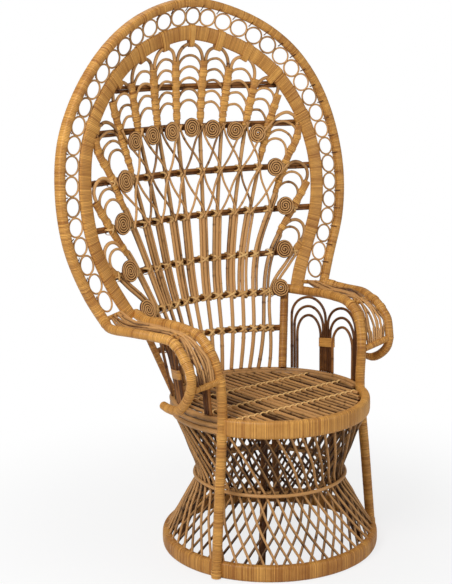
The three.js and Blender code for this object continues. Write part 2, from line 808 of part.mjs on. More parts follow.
// One lay of canes: sense 1 leans to the right and -1 to the left, shift moves it outwards.
function lay(sense, waist, shift, hoopRadius) {
  const section = ridgeSection(caneWidth, caneThickness, shift < 0);
  const canes = Array.from({ length: caneCount }, (_, i) => {
    const angle = (2 * Math.PI * i) / caneCount;
    const turn = sense * caneTurn;
    const points = [
      polar(baseRadius - baseBand / 2 + shift, angle - turn, baseHeight - overrun),
      polar(waist, angle, waistHeight),
      polar(seatRadius - seatBand / 2 + shift, angle + turn, seatTop - seatBandHeight + overrun),
    ];
    return sweep(points, () => section, (k) => points[k].clone().setZ(0).normalize());
  });
  const r = waistRod / 2;
  const tieSection = shift > 0 ? [[-r, 0], [r, -r], [r, r]] : [[r, 0], [-r, r], [-r, -r]];
  const tie = roundHoop(hoopRadius, waistHeight, tieSection, caneCount);
  const whole = above(join([...canes, tie]), baseHeight + clearance);
  return below(whole, seatTop - seatBandHeight - clearance);
}

// Deck rods run from front to back, let into two bearers that lie on the legs.
const deckRadius = (seatRadius - seatBand) * Math.cos(Math.PI / hoopSteps) - clearance;
const bearerTop = seatTop - deckSink - deckRod / 2;
const bearerOffset = legCircle * Math.cos(legAngle);

function deck() {
  const reach = (offset, width) => Math.sqrt(deckRadius ** 2 - (Math.abs(offset) + width / 2) ** 2);
  const reachOnBearers = Math.sqrt(deckRadius ** 2 - (bearerOffset + bearerWidth / 2) ** 2);
  const count = Math.floor((reachOnBearers - deckRod / 2) / deckPitch);
  const rods = Array.from({ length: 2 * count + 1 }, (_, i) => {
    const x = (i - count) * deckPitch;
    const end = reach(x, deckRod);
    const z = seatTop - deckSink - deckRod / 2;
    const section = ridgeSection(deckRod, deckRod, true);
    return sweep([vec(x, -end, z), vec(x, end, z)], () => section, () => up);
  });
  const bearers = [-1, 1].map((row) => {
    const y = row * bearerOffset;
    const end = reach(y, bearerWidth);
    const z = bearerTop - bearerDepth / 2;
    const section = flatSection(bearerWidth, bearerDepth);
    return sweep([vec(-end, y, z), vec(end, y, z)], () => section, () => up);
  });
  return join([...rods, ...bearers]);
}

function leg(angle) {
  const top = bearerTop - bearerDepth - clearance;
  const radius = legWidth / 2 / Math.cos(Math.PI / roundSides);
  const bend = waistHeight - waistRod;
  const points = [polar(footCircle, angle, -overrun), polar(legCircle, angle, bend), polar(legCircle, angle, top)];
  return above(rod(points, radius, roundSides, vec(0, 1, 0)), 0);
}

// Cutters: pieces with the clearance round them.
const both = (solid) => [solid, mirrored(solid)];
const fatPosts = both(frontPost(clearance));
const fatHoops = [innerHoop(clearance), outerHoop(clearance)];
const fatRails = both(outerArmRail(clearance));
const fatRearPosts = both(rearPost(clearance));

// The feathers, and the bars pushed up against them from behind.
const feathers = featherShares.map((_, bay) => feather(bay, fatHoops[0]));
const panel = join([innerHoop(0), feathers[0], ...feathers.slice(1).flatMap(both)]);
const barMoves = barShares.map((shares) => seated(bar(shares, 0), panel, vec(0, -1, 0)));
const bars = barShares.map((shares, i) => bar(shares, 0).translate(barMoves[i]));
const fatBars = barShares.map((shares, i) => bar(shares, clearance).translate(barMoves[i]));
const coilSeats = join([panel, ...bars, ...both(rearPost(0))]);

const baseSection = blockSection(baseBand, baseHeight, baseBand / 5);
const baseHoop = roundHoop(baseRadius - baseBand / 2, baseHeight / 2, baseSection, hoopSteps);
const waistHoop = waistRadius - waistRod / 2;
addNode("base_hoop", clear(baseHoop, fatPosts), wrapped);
addNode("outer_lattice", clear(lay(1, outerLayWaist, laySpacing / 2, waistHoop), fatPosts), bare);
addNode("inner_lattice", clear(lay(-1, innerLayWaist, -laySpacing / 2, innerWaistHoop), fatPosts), bare);
["right_rear", "right_front", "left_front", "left_rear"].forEach((corner, i) => {
  addNode(`leg_${corner}`, leg(legAngle + (i * Math.PI) / 2), dark);
});

const bandStart = frontPostAngle + (0.7 * postRadius) / seatRadius;
const rimEnd = frontPostAngle - (0.7 * postRadius) / seatRadius;
const bandSteps = Math.ceil(((Math.PI - bandStart) * hoopSteps) / Math.PI);
const rimSteps = Math.ceil((rimEnd * hoopSteps) / Math.PI);
const frontBand = seatArc(
  bandStart, 2 * Math.PI - bandStart, bandSteps, blockSection(seatBand, seatBandHeight, seatBand / 5));
addNode("seat_front_band", clear(frontBand, fatPosts), wrapped);
addNode("seat_rim", clear(seatArc(-rimEnd, rimEnd, rimSteps, rimSection()), fatPosts), bare);
addNode("seat_deck", deck(), bare);

addPair("front_post", frontPost(0), wrapped, fatHoops);
addPair("outer_arm_rail", outerArmRail(0), wrapped, fatHoops);
addPair("arm_fan", armFan(), bare, [...fatPosts, ...fatRails, ...fatHoops]);
addPair("rear_post", rearPost(0), wrapped, fatBars);
addPair("side_arches", above(sideArches(), seatTop + clearance), dark, [...fatPosts, ...fatRearPosts]);

addNode("outer_hoop", outerHoop(0), wrapped);
addNode("inner_hoop", innerHoop(0), wrapped);
addNode("ring_strip", ringStrip(), bare);
bars.forEach((solid, i) => addNode(`cross_bar_${i + 1}`, clear(solid, fatRearPosts), dark));
addNode("feather_0", feathers[0], bare);
feathers.slice(1).forEach((solid, i) => addPair(`feather_${i + 1}`, solid, bare));
addNode("crossing_canes", crossingCanes(), bare);
addNode("coil_0", coil(coilShares[0], coilSeats), wrapped);
coilShares.slice(1).forEach((shares, i) => addPair(`coil_${i + 1}`, coil(shares, coilSeats), wrapped));

console.log(`Least gap between a coil's turns: ${coilLeastGap().toFixed(2)} mm`);

// The origin is the middle of the bounding box's underside.
const box = new THREE.Box3().setFromObject(group);
group.position.set(-(box.min.x + box.max.x) / 2, -(box.min.y + box.max.y) / 2, -box.min.z);

export default group;
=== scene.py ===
import math

import bpy
import numpy as np
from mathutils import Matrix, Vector


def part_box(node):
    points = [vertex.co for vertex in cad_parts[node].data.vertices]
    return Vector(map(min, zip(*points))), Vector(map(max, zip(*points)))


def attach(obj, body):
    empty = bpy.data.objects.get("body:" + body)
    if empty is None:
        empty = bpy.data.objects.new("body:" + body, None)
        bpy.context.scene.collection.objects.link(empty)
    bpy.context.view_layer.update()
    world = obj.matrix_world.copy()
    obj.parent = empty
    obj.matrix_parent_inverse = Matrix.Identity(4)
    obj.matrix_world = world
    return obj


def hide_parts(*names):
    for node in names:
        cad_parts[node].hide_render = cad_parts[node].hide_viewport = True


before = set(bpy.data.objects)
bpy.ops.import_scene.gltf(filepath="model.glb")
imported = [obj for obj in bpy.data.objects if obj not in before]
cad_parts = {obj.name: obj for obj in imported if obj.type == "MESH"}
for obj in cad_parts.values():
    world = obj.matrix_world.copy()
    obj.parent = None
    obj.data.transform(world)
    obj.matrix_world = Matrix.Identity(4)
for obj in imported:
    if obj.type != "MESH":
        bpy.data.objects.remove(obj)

bl_info = {
    "name": "Peacock Chair",
    "version": (1, 0, 0),
    "blender": (4, 5, 0),
    "location": "View3D > Sidebar > Peacock Chair",
    "description": "Dresses the peacock chair in wrapped, bare and dark rattan",
    "category": "Object",
}

# Sizes in metres. The main ones are the packed model's. Most canes are a little thicker here.
# The lattice, the deck and the arms have more of them, thinner in the deck and the arms.
CENTRE_Y = (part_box("base_hoop")[0].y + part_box("base_hoop")[1].y) / 2
GAP = 0.0004
STRIP_RIDGE = 0.0006
STRIP_TILT = 0.0006
KNOT_LENGTH = 0.0026

# Base.
BASE_RADIUS = 0.3025
BASE_BAND = 0.025
BASE_HEIGHT = 0.045
WAIST_HEIGHT = 0.205
WAIST_RADIUS = 0.2155
WAIST_ROD = 0.0096
CANE_ROD = 0.0073
CANE_COUNT = 50
CANE_TURN = math.radians(22.6)
CANE_SINK = 0.012
CANE_HOLLOW = 0.012
CANE_WOBBLE = 0.006
LAY_SPACING = 0.008
LEG_RADIUS = 0.010
LEG_CIRCLE = 0.1742
LEG_FOOT_CIRCLE = 0.2575
LEG_BEND = 0.02
LEG_FLARE = 0.008
LEG_LIFT = 0.003

# Seat.
SEAT_TOP = 0.430
SEAT_RADIUS = 0.2774
SEAT_BAND = 0.025
SEAT_BAND_HEIGHT = 0.048
DECK_ROD = 0.0122
DECK_PITCH = 0.0205
DECK_SINK = 0.006
BEARER_RADIUS = 0.0075
BEARER_LIFT = 0.008
BEARER_ROWS = (-0.1232, 0.0, 0.1232)
DECK_LASH_ROWS = (0.10, -0.02, -0.12)
DECK_LASH_WIDTH = 0.0075
DECK_LASH_DEPTH = 0.0032
DECK_LASH_SWAY = 0.0035

# Posts, arms and side panels. Angles are turned from the back.
POST_RADIUS = 0.0135
FRONT_POST_ANGLE = math.radians(112.6)
BAND_EDGE = 0.7 * POST_RADIUS / SEAT_RADIUS
POST_FOOT_OUT = 0.004
POST_RIM_IN = 0.010
POST_LIFT = 0.0028
RAIL_RADIUS = 0.0125
BINDING = 0.003
ARM_HALF_WIDTH = 0.4204
ARM_FRONT = 0.1056
ARM_LENGTH = 0.3286
ARM_RISE = 0.224
FAN_ROD = 0.0070
FAN_RODS = 8
TIE_RADIUS = 0.0095
REAR_POST_RADIUS = 0.0125
REAR_POST_ANGLE = math.radians(48)
NEAR_REAR_POST_SHARE = 0.75
PANEL_ROD = 0.0080
PANEL_PITCH = 0.0085
PANEL_ARCH_RISE = 0.26
PANEL_BAND_WIDTH = 0.055
PANEL_BAND_DEPTH = 0.0125

# Back.
BACK_HALF_WIDTH = 0.5045
BACK_RISE = 1.070
BACK_BOW = 0.095
BOW_SPAN_SHARE = 1.09
LOWER_PULL = 0.075
PULL_RISE_SHARE = 0.374
PULL_WIDTH_SHARE = 0.396
PULL_END_SHARE = 0.515
STALK_CIRCLE = 0.268
OUTER_HOOP_WIDTH = 0.025
OUTER_HOOP_DEPTH = 0.028
RING_WIDTH = 0.0495
RING_ROD = 0.0054
RING_COUNT = 39
RING_TIE_REACH = 0.009
INNER_HOOP_WIDTH = 0.042
INNER_HOOP_DEPTH = 0.014
INNER_HOOP_REACH = 0.056
INNER_HOOP_INSET = OUTER_HOOP_WIDTH + RING_WIDTH + INNER_HOOP_WIDTH / 2
INNER_HOOP_EDGE = OUTER_HOOP_WIDTH + RING_WIDTH + INNER_HOOP_WIDTH
BAR_RADIUS = 0.0052
ARCH_ROD = 0.0076
ARCH_SINK = 0.0045
OUTER_ARCH_ROD = 0.010
WRAP_DEPTH = 0.0142
SLEEVE = 0.0032
SLEEVE_DEPTH = 0.0168
STALK_RADIUS = 0.0058
LAST_STALK_RADIUS = 0.0052
SIDE_ROD_RADIUS = 0.0044
SIDE_ROD_OUT = 0.0100
CROSSING_ROD = 0.0068
CROSSING_SWAY = 0.004
LASH_STRIP = 0.0062
LASH_THICK = 0.0016
LASH_HALF_HEIGHT = 0.0088
COIL_RADIUS = 0.029
SIDE_COIL_RADIUS = 0.0325
COIL_ROD = 0.0069
COIL_DEPTH = 0.0085
COIL_EYE = 0.0018
COIL_CORE = 0.0022
COIL_OUT = 0.0135

# Shares of the back's half width and rise, and of the arm's box. The near arm's rail and curl,
# the side panels and the lowest bars follow the photograph, most others the packed model.
OUTLINE = [
    (0, 1), (0.367, 0.961), (0.632, 0.887), (0.8305, 0.782), (0.955, 0.66),
    (1, 0.528), (0.975, 0.396), (0.874, 0.267), (0.809, 0.2065),
]
SPINE = [
    (0, 0.0037), (0.103, 0.0178), (0.252, 0.0505), (0.374, 0.0626), (0.519, 0.0757),
    (0.654, 0.0879), (0.766, 0.086), (0.888, 0.0738), (1, 0.0561),
]
STALKS = [
    [(0.0277, 0), (0.0614, 0.4243), (0.0793, 0.6542), (0.0991, 0.8411), (0.1064, 0.91)],
    [(0.0833, 0), (0.1586, 0.4243), (0.222, 0.6542), (0.2716, 0.8411), (0.2899, 0.91)],
    [(0.1368, 0), (0.2696, 0.4243), (0.3687, 0.6449), (0.4361, 0.7897), (0.4735, 0.87)],
    [(0.1903, 0), (0.3072, 0.3047), (0.44, 0.5421), (0.5768, 0.7402), (0.618, 0.8)],
    [(0.2369, 0), (0.3816, 0.3047), (0.5407, 0.4783), (0.6313, 0.5699), (0.6939, 0.6193), (0.72, 0.69)],
    [(0.2815, 0), (0.3885, 0.2019), (0.4861, 0.3148), (0.6507, 0.4295), (0.7661, 0.5134), (0.8, 0.545)],
    [(0.337, 0), (0.425, 0.2019), (0.5709, 0.2767), (0.6626, 0.3188), (0.722, 0.3424), (0.77, 0.362)],
]
FEATHERS = [
    ((0, 0.8815), (0, 0.7346), 6),
    ((0.1784, 0.8715), (0.1497, 0.728), 6),
    ((0.3528, 0.8455), (0.3033, 0.7192), 5),
    ((0.5302, 0.788), (0.4529, 0.7019), 4),
    ((0.6563, 0.6897), (0.585, 0.618), 4),
    ((0.7107, 0.5504), (0.65, 0.4953), 3),
    ((0.69, 0.385), (0.656, 0.366), 2),
]
COILS = [
    (0, 0.6617), (0.1447, 0.6551), (0.2973, 0.6481), (0.4375, 0.6374),
    (0.5372, 0.5411), (0.5828, 0.4346), (0.558, 0.3112), (0.4823, 0.2075),
]
BARS = [
    (0.769, 0.6), (0.6626, 0.735), (0.543, 0.79), (0.4252, 0.79),
    (0.3047, 0.72), (0.2019, 0.50), (0.1075, 0.45),
]
INNER_RAIL = [
    (0.7065, 0.8022, 0.9777), (0.7008, 0.647, 0.9955), (0.6898, 0.4887, 1),
    (0.6767, 0.3366, 0.9911), (0.6503, 0.1951, 0.9375), (0.6399, 0.1114, 0.8393),
    (0.6232, 0.0596, 0.7143), (0.6113, 0.0307, 0.5804), (0.598, 0.01, 0.4464),
]
OUTER_RAIL = [
    (0.999, 0.7687, 0.9732), (0.9753, 0.51, 0.9866), (0.9182, 0.3335, 0.9732),
    (0.8682, 0.1783, 0.942), (0.8587, 0.0962, 0.8661), (0.8539, 0.0323, 0.7723),
    (0.8397, -0.0164, 0.5424),
]
CURL = [
    (0.8278, -0.0043, 0.4241), (0.8088, 0.0505, 0.3214), (0.7921, 0.1236, 0.2634),
    (0.7921, 0.2605, 0.2545),
]
NEAR_RAIL = [
    *OUTER_RAIL[:-2], (0.8587, 0.022, 0.76), (0.8563, -0.0329, 0.6533),
    (0.8516, -0.0471, 0.5301), (0.8444, -0.0216, 0.4137),
]
NEAR_CURL = [(0.8325, 0.0608, 0.2545), (0.8206, 0.18, 0.115), (0.8088, 0.32, 0.08), (0.797, 0.43, 0.085)]
FAN_SPREAD = [(0, 0.4), (0.3, 0.55), (0.56, 0.38), (0.66, 0.38), (0.85, 0.72), (1, 0.5)]
# Start and end of each bay along the side panel, and its arches' tips as shares of the rise.
PANEL_BAYS = [(0.08, 0.47, (0.965, 0.845, 0.725)), (0.47, 0.90, (0.90, 0.775, 0.65))]
# Lowest share of the rise at which each stalk is wrapped, and the wrapping's width up the stalk.
WRAP_FOOT = [0.655, 0.65, 0.645, 0.56, 0.47, 0.355, 0.305]
WRAP_WIDTHS = [(0, 0.014), (0.12, 0.018), (0.4, 0.022), (1, 0.023)]

# Ties of the inner hoop: place, width and how far they reach over it.
HOOP_TIES = [*((first, 0.028, 0.004) for first, _, _ in FEATHERS[:4]), ((0.70, 0.6749), 0.026, 0.0)]
# Half width and front of a lashing over a wrapped stalk, a stalk with side rods and a bare one.
LASH_ON_WRAP = (0.0125, 0.0086)
LASH_ON_RODS = (0.0145, 0.0066)
LASH_ON_STALK = (0.0098, 0.0066)
# Painted light and shade across a coil's rod, from its dark side to its lighter front.
COIL_PAINTED_SHADING = ((0, 0.6, 0.96), (-1.9, -1.2, 0.45))

# Bindings over the posts and rails: share of the length and width in metres.
POST_BINDINGS = [(0.985, 0.016), (0.604, 0.022), (0.352, 0.026), (0.30, 0.012)]
RAIL_BINDINGS = [(0.01, 0.03), (0.47, 0.018), (0.56, 0.012)]
# Ties across an arm: share of the rails and margin at each end.
FAN_TIES = [(0.014, 0.12), (0.60, 0.24), (0.64, 0.24)]

# Offsets in metres: the rear post's head from the lowest coil, the inner rail's start from that
# head, and how far the side panel's top leans at its rear, and how that changes to the front.
REAR_POST_HEAD = (0.022, 0.0, -0.006)
INNER_RAIL_START = (0.006, 0.002, 0.004)
PANEL_LEAN = np.array((0.033, 0.040, 0.97 * ARM_RISE))
PANEL_LEAN_CHANGE = np.array((-0.025, -0.032, 0))

# Slot, roughness, fibre, mottle and coat of each finish.
FINISHES = {
    "wrapped": ("wrapped_cane", 0.42, 0.45, 0.5, 0.12),
    "bare": ("bare_cane", 0.46, 0.5, 0.8, 0.0),
    "brown": ("bare_cane", 0.38, 0.5, 0.8, 0.0),
    "dark": ("dark_cane", 0.45, 0.5, 0.9, 0.0),
    "lashing": ("wrapped_cane", 0.45, 0.3, 0.4, 0.1),
}
# Painted shade in the grooves between wound strips: its strength and its tint.
GROOVE_SHADE_STRENGTH = 0.85
GROOVE_SHADE_TINT = (0.36, 0.24, 0.13, 1)
WHITE = (1, 1, 1, 1)

# Lamps: place, size and share of the key light's power.
LAMPS = {
    "key": ((-2.3, -0.9, 2.45), 1.3, 1),
    "fill": ((2.0, -3.4, 2.0), 2.4, 0.55),
    "top": ((0.0, 1.2, 4.0), 2.5, 0.5),
}
LAMP_AIM = (0, 0, 0.95)
CAMERA_DISTANCE = 3.4186
CAMERA_HEIGHT = 1.4234
CAMERA_AZIMUTH = math.radians(40)
CAMERA_DIP = math.radians(11.73)
CAMERA_LENS = 79.03
CAMERA_SHIFT = -0.0751

HANDS = {"right": np.array((1, 1, 1)), "left": np.array((-1, 1, 1))}
UP = np.array((0.0, 0.0, 1.0))
rng = np.random.default_rng(7)


# Curves and the back's surface.

def columns(*values):
    """Numbers or rows of numbers side by side, as points."""
    return np.stack(np.broadcast_arrays(*values), axis=-1)


def sideways(along):
    """Directions in the plane of the back turned a quarter."""
    return columns(along[..., 1], -along[..., 0])


def full_turn(count):
    return np.linspace(0, 2 * math.pi, count, endpoint=False)


def unit(v):
    v = np.asarray(v, float)
    return v / np.linalg.norm(v, axis=-1, keepdims=True)


def spline(points, per_span=24):
    """Centripetal curve through points, as a dense polyline."""
    p = np.asarray(points, float)
    p = np.vstack([2 * p[0] - p[1], p, 2 * p[-1] - p[-2]])
    out = []
    for i in range(len(p) - 3):
        a, b, c, d = p[i:i + 4]
        da, db, dc = (max(np.linalg.norm(v) ** 0.5, 1e-6) for v in (b - a, c - b, d - c))
        m1 = db * ((b - a) / da - (c - a) / (da + db) + (c - b) / db)
        m2 = db * ((c - b) / db - (d - b) / (db + dc) + (d - c) / dc)
        t = np.linspace(0, 1, per_span, endpoint=False)[:, None]
        h = t * t * (3 - 2 * t)
        out.append(b * (1 - h) + c * h + m1 * (t - 2 * t ** 2 + t ** 3) + m2 * (t ** 3 - t ** 2))
    return np.vstack([*out, p[-2:-1]])


def lengths(poly):
    steps = np.linalg.norm(np.diff(poly, axis=0), axis=1)
    return np.concatenate([[0], np.cumsum(steps)])


def at_length(poly, where):
    """Points of a polyline at distances along it."""
    s = lengths(poly)
    return np.stack([np.interp(where, s, poly[:, k]) for k in range(poly.shape[1])], axis=1)


def at_share(poly, shares):
    return at_length(poly, np.asarray(shares) * lengths(poly)[-1])


def back_depth(x, z):
    """How far back the middle of the back lies."""
    rise = (z - SEAT_TOP) / BACK_RISE
    rows = np.array(SPINE)
    padded = np.vstack([rows[:1], rows, rows[-1:]])
    run, climb = (padded[2:] - padded[:-2]).T
    slopes = climb / run
    b = np.clip(np.searchsorted(rows[:, 0], rise, side="right"), 1, len(rows) - 1)
    a = b - 1
    span = rows[b, 0] - rows[a, 0]
    t = (rise - rows[a, 0]) / span
    low = rows[a, 1] * (1 + 2 * t) + slopes[a] * span * t
    high = rows[b, 1] * (3 - 2 * t) - slopes[b] * span * (1 - t)
    spine = STALK_CIRCLE + (low * (1 - t) ** 2 + high * t ** 2) * BACK_RISE
    bow = BACK_BOW * (1 - np.cos(np.pi * x / (BOW_SPAN_SHARE * BACK_HALF_WIDTH))) / 2
    fade = (1 + np.cos(np.pi * np.clip(rise / PULL_RISE_SHARE, 0, 1))) / 2
    across = x / BACK_HALF_WIDTH
    pull = LOWER_PULL * (across / PULL_WIDTH_SHARE) ** 2 / (1 + (across / PULL_END_SHARE) ** 4)
    return spine - bow - pull * fade + CENTRE_Y


def back_normal(x, z):
    e = 0.001
    dx = (back_depth(x + e, z) - back_depth(x - e, z)) / (2 * e)
    dz = (back_depth(x, z + e) - back_depth(x, z - e)) / (2 * e)
    return unit(columns(dx, -1.0, dz))


def on_back(places, out=0.0):
    """Points and front directions for places (x, z) on the back, moved out of it."""
    x, z = np.asarray(places, float).T
    normals = back_normal(x, z)
    return columns(x, back_depth(x, z), z) + normals * np.reshape(out, (-1, 1)), normals


def place(share):
    return np.array([share[0] * BACK_HALF_WIDTH, SEAT_TOP + share[1] * BACK_RISE])


half = [place(s) for s in OUTLINE]
outline = spline([p * (-1, 1) for p in half[:0:-1]] + half, 80)


def inset(shares, distance):
    """Places on the back's outline, moved inwards. A share past an end goes straight on."""
    shares = np.atleast_1d(np.asarray(shares, float))
    e = 0.0005
    inner = np.clip(shares, e, 1 - e)
    p = at_share(outline, np.clip(shares, 0, 1))
    along = unit(at_share(outline, inner + e) - at_share(outline, inner - e))
    past = (shares - np.clip(shares, 0, 1)) * lengths(outline)[-1]
    return p + along * past[:, None] + sideways(along) * distance


def stalk_route(number):
    p = np.array([place(s) for s in STALKS[abs(number) - 1]])
    p[:, 0] *= math.copysign(1, number)
    return spline(p, 60)


def stalk_between(number, low, high, steps=40):
    """Places on a stalk between two shares of the back's rise."""
    route = stalk_route(number)
    rise = np.linspace(low, high, steps) * BACK_RISE + SEAT_TOP
    s = np.interp(rise, route[:, 1], lengths(route))
    return at_length(route, s)


def polar(radius, angle, z):
    """Points round the seat's centre, with angles turned from the back."""
    angle = np.asarray(angle, float)
    return columns(radius * np.sin(angle), radius * np.cos(angle) + CENTRE_Y, z)


# Mesh building.

def rounded(width, depth, count, power=2.0):
    """A rounded section with a width across the path and a depth out of it."""
    t = np.arange(count) * 2 * math.pi / count
    c, s = np.cos(t), np.sin(t)
    return np.stack([
        np.sign(c) * np.abs(c) ** (2 / power) * width / 2,
        np.sign(s) * np.abs(s) ** (2 / power) * depth / 2,
    ], axis=1)


def strip_tones(count, base):
    """A tone for each strip: runs of like strips, small differences, and a dark one now and then."""
    runs = np.convolve(rng.normal(0, 1, count + 24), np.hanning(14) / 2.3, "same")[12:12 + count]
    tones = base + 0.07 * runs + rng.normal(0, 0.13, count)
    return np.clip(tones - 0.45 * (rng.random(count) < 0.04), 0, 1)


class Weaver:
    """Collects swept canes as one mesh, with a shade and a groove depth at each point."""

    def __init__(self):
        self.points, self.quads, self.caps, self.uvs = [], [], [], []
        self.shades, self.grooves = [], []
        self.count = 0

    def sweep(self, points, section, normals=UP, closed=False, shade=0.5, groove=0.0, shift=0.0):
        """Adds a cane. The section is (sides, 2) or (points, sides, 2)."""
        points = np.asarray(points, float)
        n = len(points)
        section = np.broadcast_to(section, (n, *np.shape(section)[-2:]))
        k = section.shape[1]
        if closed:
            along = unit(np.roll(points, -1, 0) - np.roll(points, 1, 0))
        else:
            along = unit(np.gradient(points, axis=0))
        side = unit(np.cross(np.broadcast_to(normals, (n, 3)), along))
        front = np.cross(along, side)
        v = points[:, None] + side[:, None] * section[..., :1] + front[:, None] * section[..., 1:]
        v = v + along[:, None] * np.reshape(np.broadcast_to(shift, (n, k)), (n, k, 1))
        rows = n if closed else n - 1
        i, j = np.meshgrid(np.arange(rows), np.arange(k), indexing="ij")
        i2, j2 = (i + 1) % n, (j + 1) % k
        quads = np.stack([i * k + j, i * k + j2, i2 * k + j2, i2 * k + j], axis=-1).reshape(-1, 4)
        s = lengths(np.vstack([points, points[:1]]) if closed else points)
        around = np.linalg.norm(section[0] - np.roll(section[0], 1, 0), axis=1).sum()
        u0, u1 = j / k * around, (j + 1) / k * around
        uv = np.stack([
            np.stack([u0, s[i]], -1), np.stack([u1, s[i]], -1),
            np.stack([u1, s[i + 1]], -1), np.stack([u0, s[i + 1]], -1),
        ], axis=-2).reshape(-1, 2)
        self.quads.append(quads + self.count)
        self.uvs.append(uv)
        if not closed:
            self.caps.append(np.arange(k)[::-1] + self.count)
            self.caps.append(np.arange(k) + self.count + (n - 1) * k)
        self.points.append(v.reshape(-1, 3))
        shade = shade if np.ndim(shade) == 2 else np.reshape(shade, (-1, 1))
        self.shades.append(np.broadcast_to(shade, (n, k)).ravel())
        self.grooves.append(np.broadcast_to(np.reshape(groove, (-1, 1)), (n, k)).ravel())
        self.count += n * k

    def rod(self, points, radius, sides=8, normals=UP, shade=None, closed=False, knots=0.0, painted_shading=0.4):
        """A bare cane with faint swellings where its knots were, worn paler on its front."""
        points = np.asarray(points, float)
        n = len(points)
        shade = rng.uniform(0.15, 0.85) if shade is None else shade
        r = np.full(n, 1.0)
        tone = shade + 0.1 * np.sin(np.linspace(0, 9, n) + 7 * shade)
        if knots:
            s = lengths(points)
            for knot in np.arange(rng.uniform(0.02, knots), s[-1], knots):
                near = np.exp(-((s - knot) / KNOT_LENGTH) ** 2)
                r = r + 0.1 * near
                tone = tone - 0.45 * near
        circle = rounded(2, 2, sides)
        section = circle[None] * (r * radius)[:, None, None]
        # Painted light and shade: the front of the cane is made lighter and its sides and back darker.
        self.sweep(points, section, normals, closed, tone[:, None] + painted_shading * circle[:, 1])

    def wrap(self, poly, section, normals=UP, closed=False, ridge=STRIP_RIDGE, base=0.5):
        """A cane wound with flat strips laid side by side. Each strip is a low ridge across the path."""
        poly = np.asarray(poly, float)
        loop = np.vstack([poly, poly[:1]]) if closed else poly
        total = lengths(loop)[-1]
        turns = max(int(round(total / settings().strip)), 2)
        rows = np.arange(turns * 3 + (0 if closed else 1))
        phase = rows % 3
        s = (rows // 3 + np.choose(phase, (0.0, 0.22, 0.78))) * total / turns
        points = at_length(loop, np.clip(s, 0, total))
        if np.ndim(normals) > 1:
            many = np.vstack([normals, normals[:1]]) if closed else normals
            normals = np.stack([np.interp(s, lengths(loop), many[:, c]) for c in range(3)], axis=1)
        height = rng.uniform(0.75, 1.15, turns + 1)[rows // 3] * ridge
        lift = np.where(phase == 0, 0.0, height)
        section = np.asarray(section, float)
        if section.ndim == 3:
            share = s / total * (len(section) - 1)
            low = np.clip(share.astype(int), 0, len(section) - 2)
            t = (share - low)[:, None, None]
            section = section[low] * (1 - t) + section[low + 1] * t
        else:
            section = np.broadcast_to(section, (len(rows), *section.shape))
        size = np.linalg.norm(section, axis=2, keepdims=True)
        section = section * (1 + (lift[:, None, None] - ridge) / np.maximum(size, 1e-5))
        k = section.shape[1]
        angle = np.arange(k) * 2 * math.pi / k
        lean = rng.normal(0, STRIP_TILT, turns + 1)[rows // 3][:, None] * np.cos(angle)[None]
        tones = strip_tones(turns + 1, base)[rows // 3]
        # The groove mask marks each strip's edge, where shade is painted into the colour.
        self.sweep(points, section, normals, closed, tones, (phase == 0).astype(float), lean)

    def strip_loop(self, points, width, thick, normals, shade=None, closed=True):
        """A flat strip along a path, its flat side facing the normals."""
        section = rounded(width, thick, 6, 2.6)
        self.sweep(points, section, normals, closed, rng.uniform(0.3, 0.9) if shade is None else shade)

    def make(self, name, finish, nodes=(), slot=None):
        """Turns what was collected into one piece that rides with the chair."""
        mesh = bpy.data.meshes.new(name)
        points = np.vstack(self.points)
        quads = np.vstack(self.quads)
        loops = np.concatenate([quads.ravel(), *self.caps])
        totals = np.concatenate([np.full(len(quads), 4), [len(c) for c in self.caps]]).astype(int)
        starts = np.concatenate([[0], np.cumsum(totals)[:-1]])
        mesh.vertices.add(len(points))
        mesh.vertices.foreach_set("co", points.astype(np.float32).ravel())
        mesh.loops.add(len(loops))
        mesh.loops.foreach_set("vertex_index", loops.astype(np.int32))
        mesh.polygons.add(len(totals))
        mesh.polygons.foreach_set("loop_start", starts.astype(np.int32))
        mesh.update(calc_edges=True)
        mesh.polygons.foreach_set("use_smooth", np.arange(len(totals)) < len(quads))
        uv = np.vstack([*self.uvs, np.zeros((sum(len(c) for c in self.caps), 2))])
        mesh.uv_layers.new(name="lay").data.foreach_set("uv", uv.astype(np.float32).ravel())
        for label, rows in (("shade", self.shades), ("groove", self.grooves)):
            layer = mesh.attributes.new(label, "FLOAT", "POINT")
            layer.data.foreach_set("value", np.concatenate(rows).astype(np.float32))
        mesh.validate()
        piece = bpy.data.objects.new(name, mesh)
        bpy.context.scene.collection.objects.link(piece)
        mesh.materials.append(cane_finish(finish))
        slot = slot or FINISHES[finish][0]
        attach(piece, "root")
        if nodes:
            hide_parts(*nodes)


# Finishes.

class Nodes:
    """Adds shader nodes and links them in one call."""

    def __init__(self, material):
        material.use_nodes = True
        self.tree = material.node_tree
        self.tree.nodes.clear()

    def add(self, kind, inputs=None, **fields):
        node = self.tree.nodes.new("ShaderNode" + kind)
        for name, value in fields.items():
            setattr(node, name, value)
        for name, value in (inputs or {}).items():
            socket = node.inputs[name]
            if isinstance(value, bpy.types.NodeSocket):
                self.tree.links.new(value, socket)
            else:
                socket.default_value = value
        return node


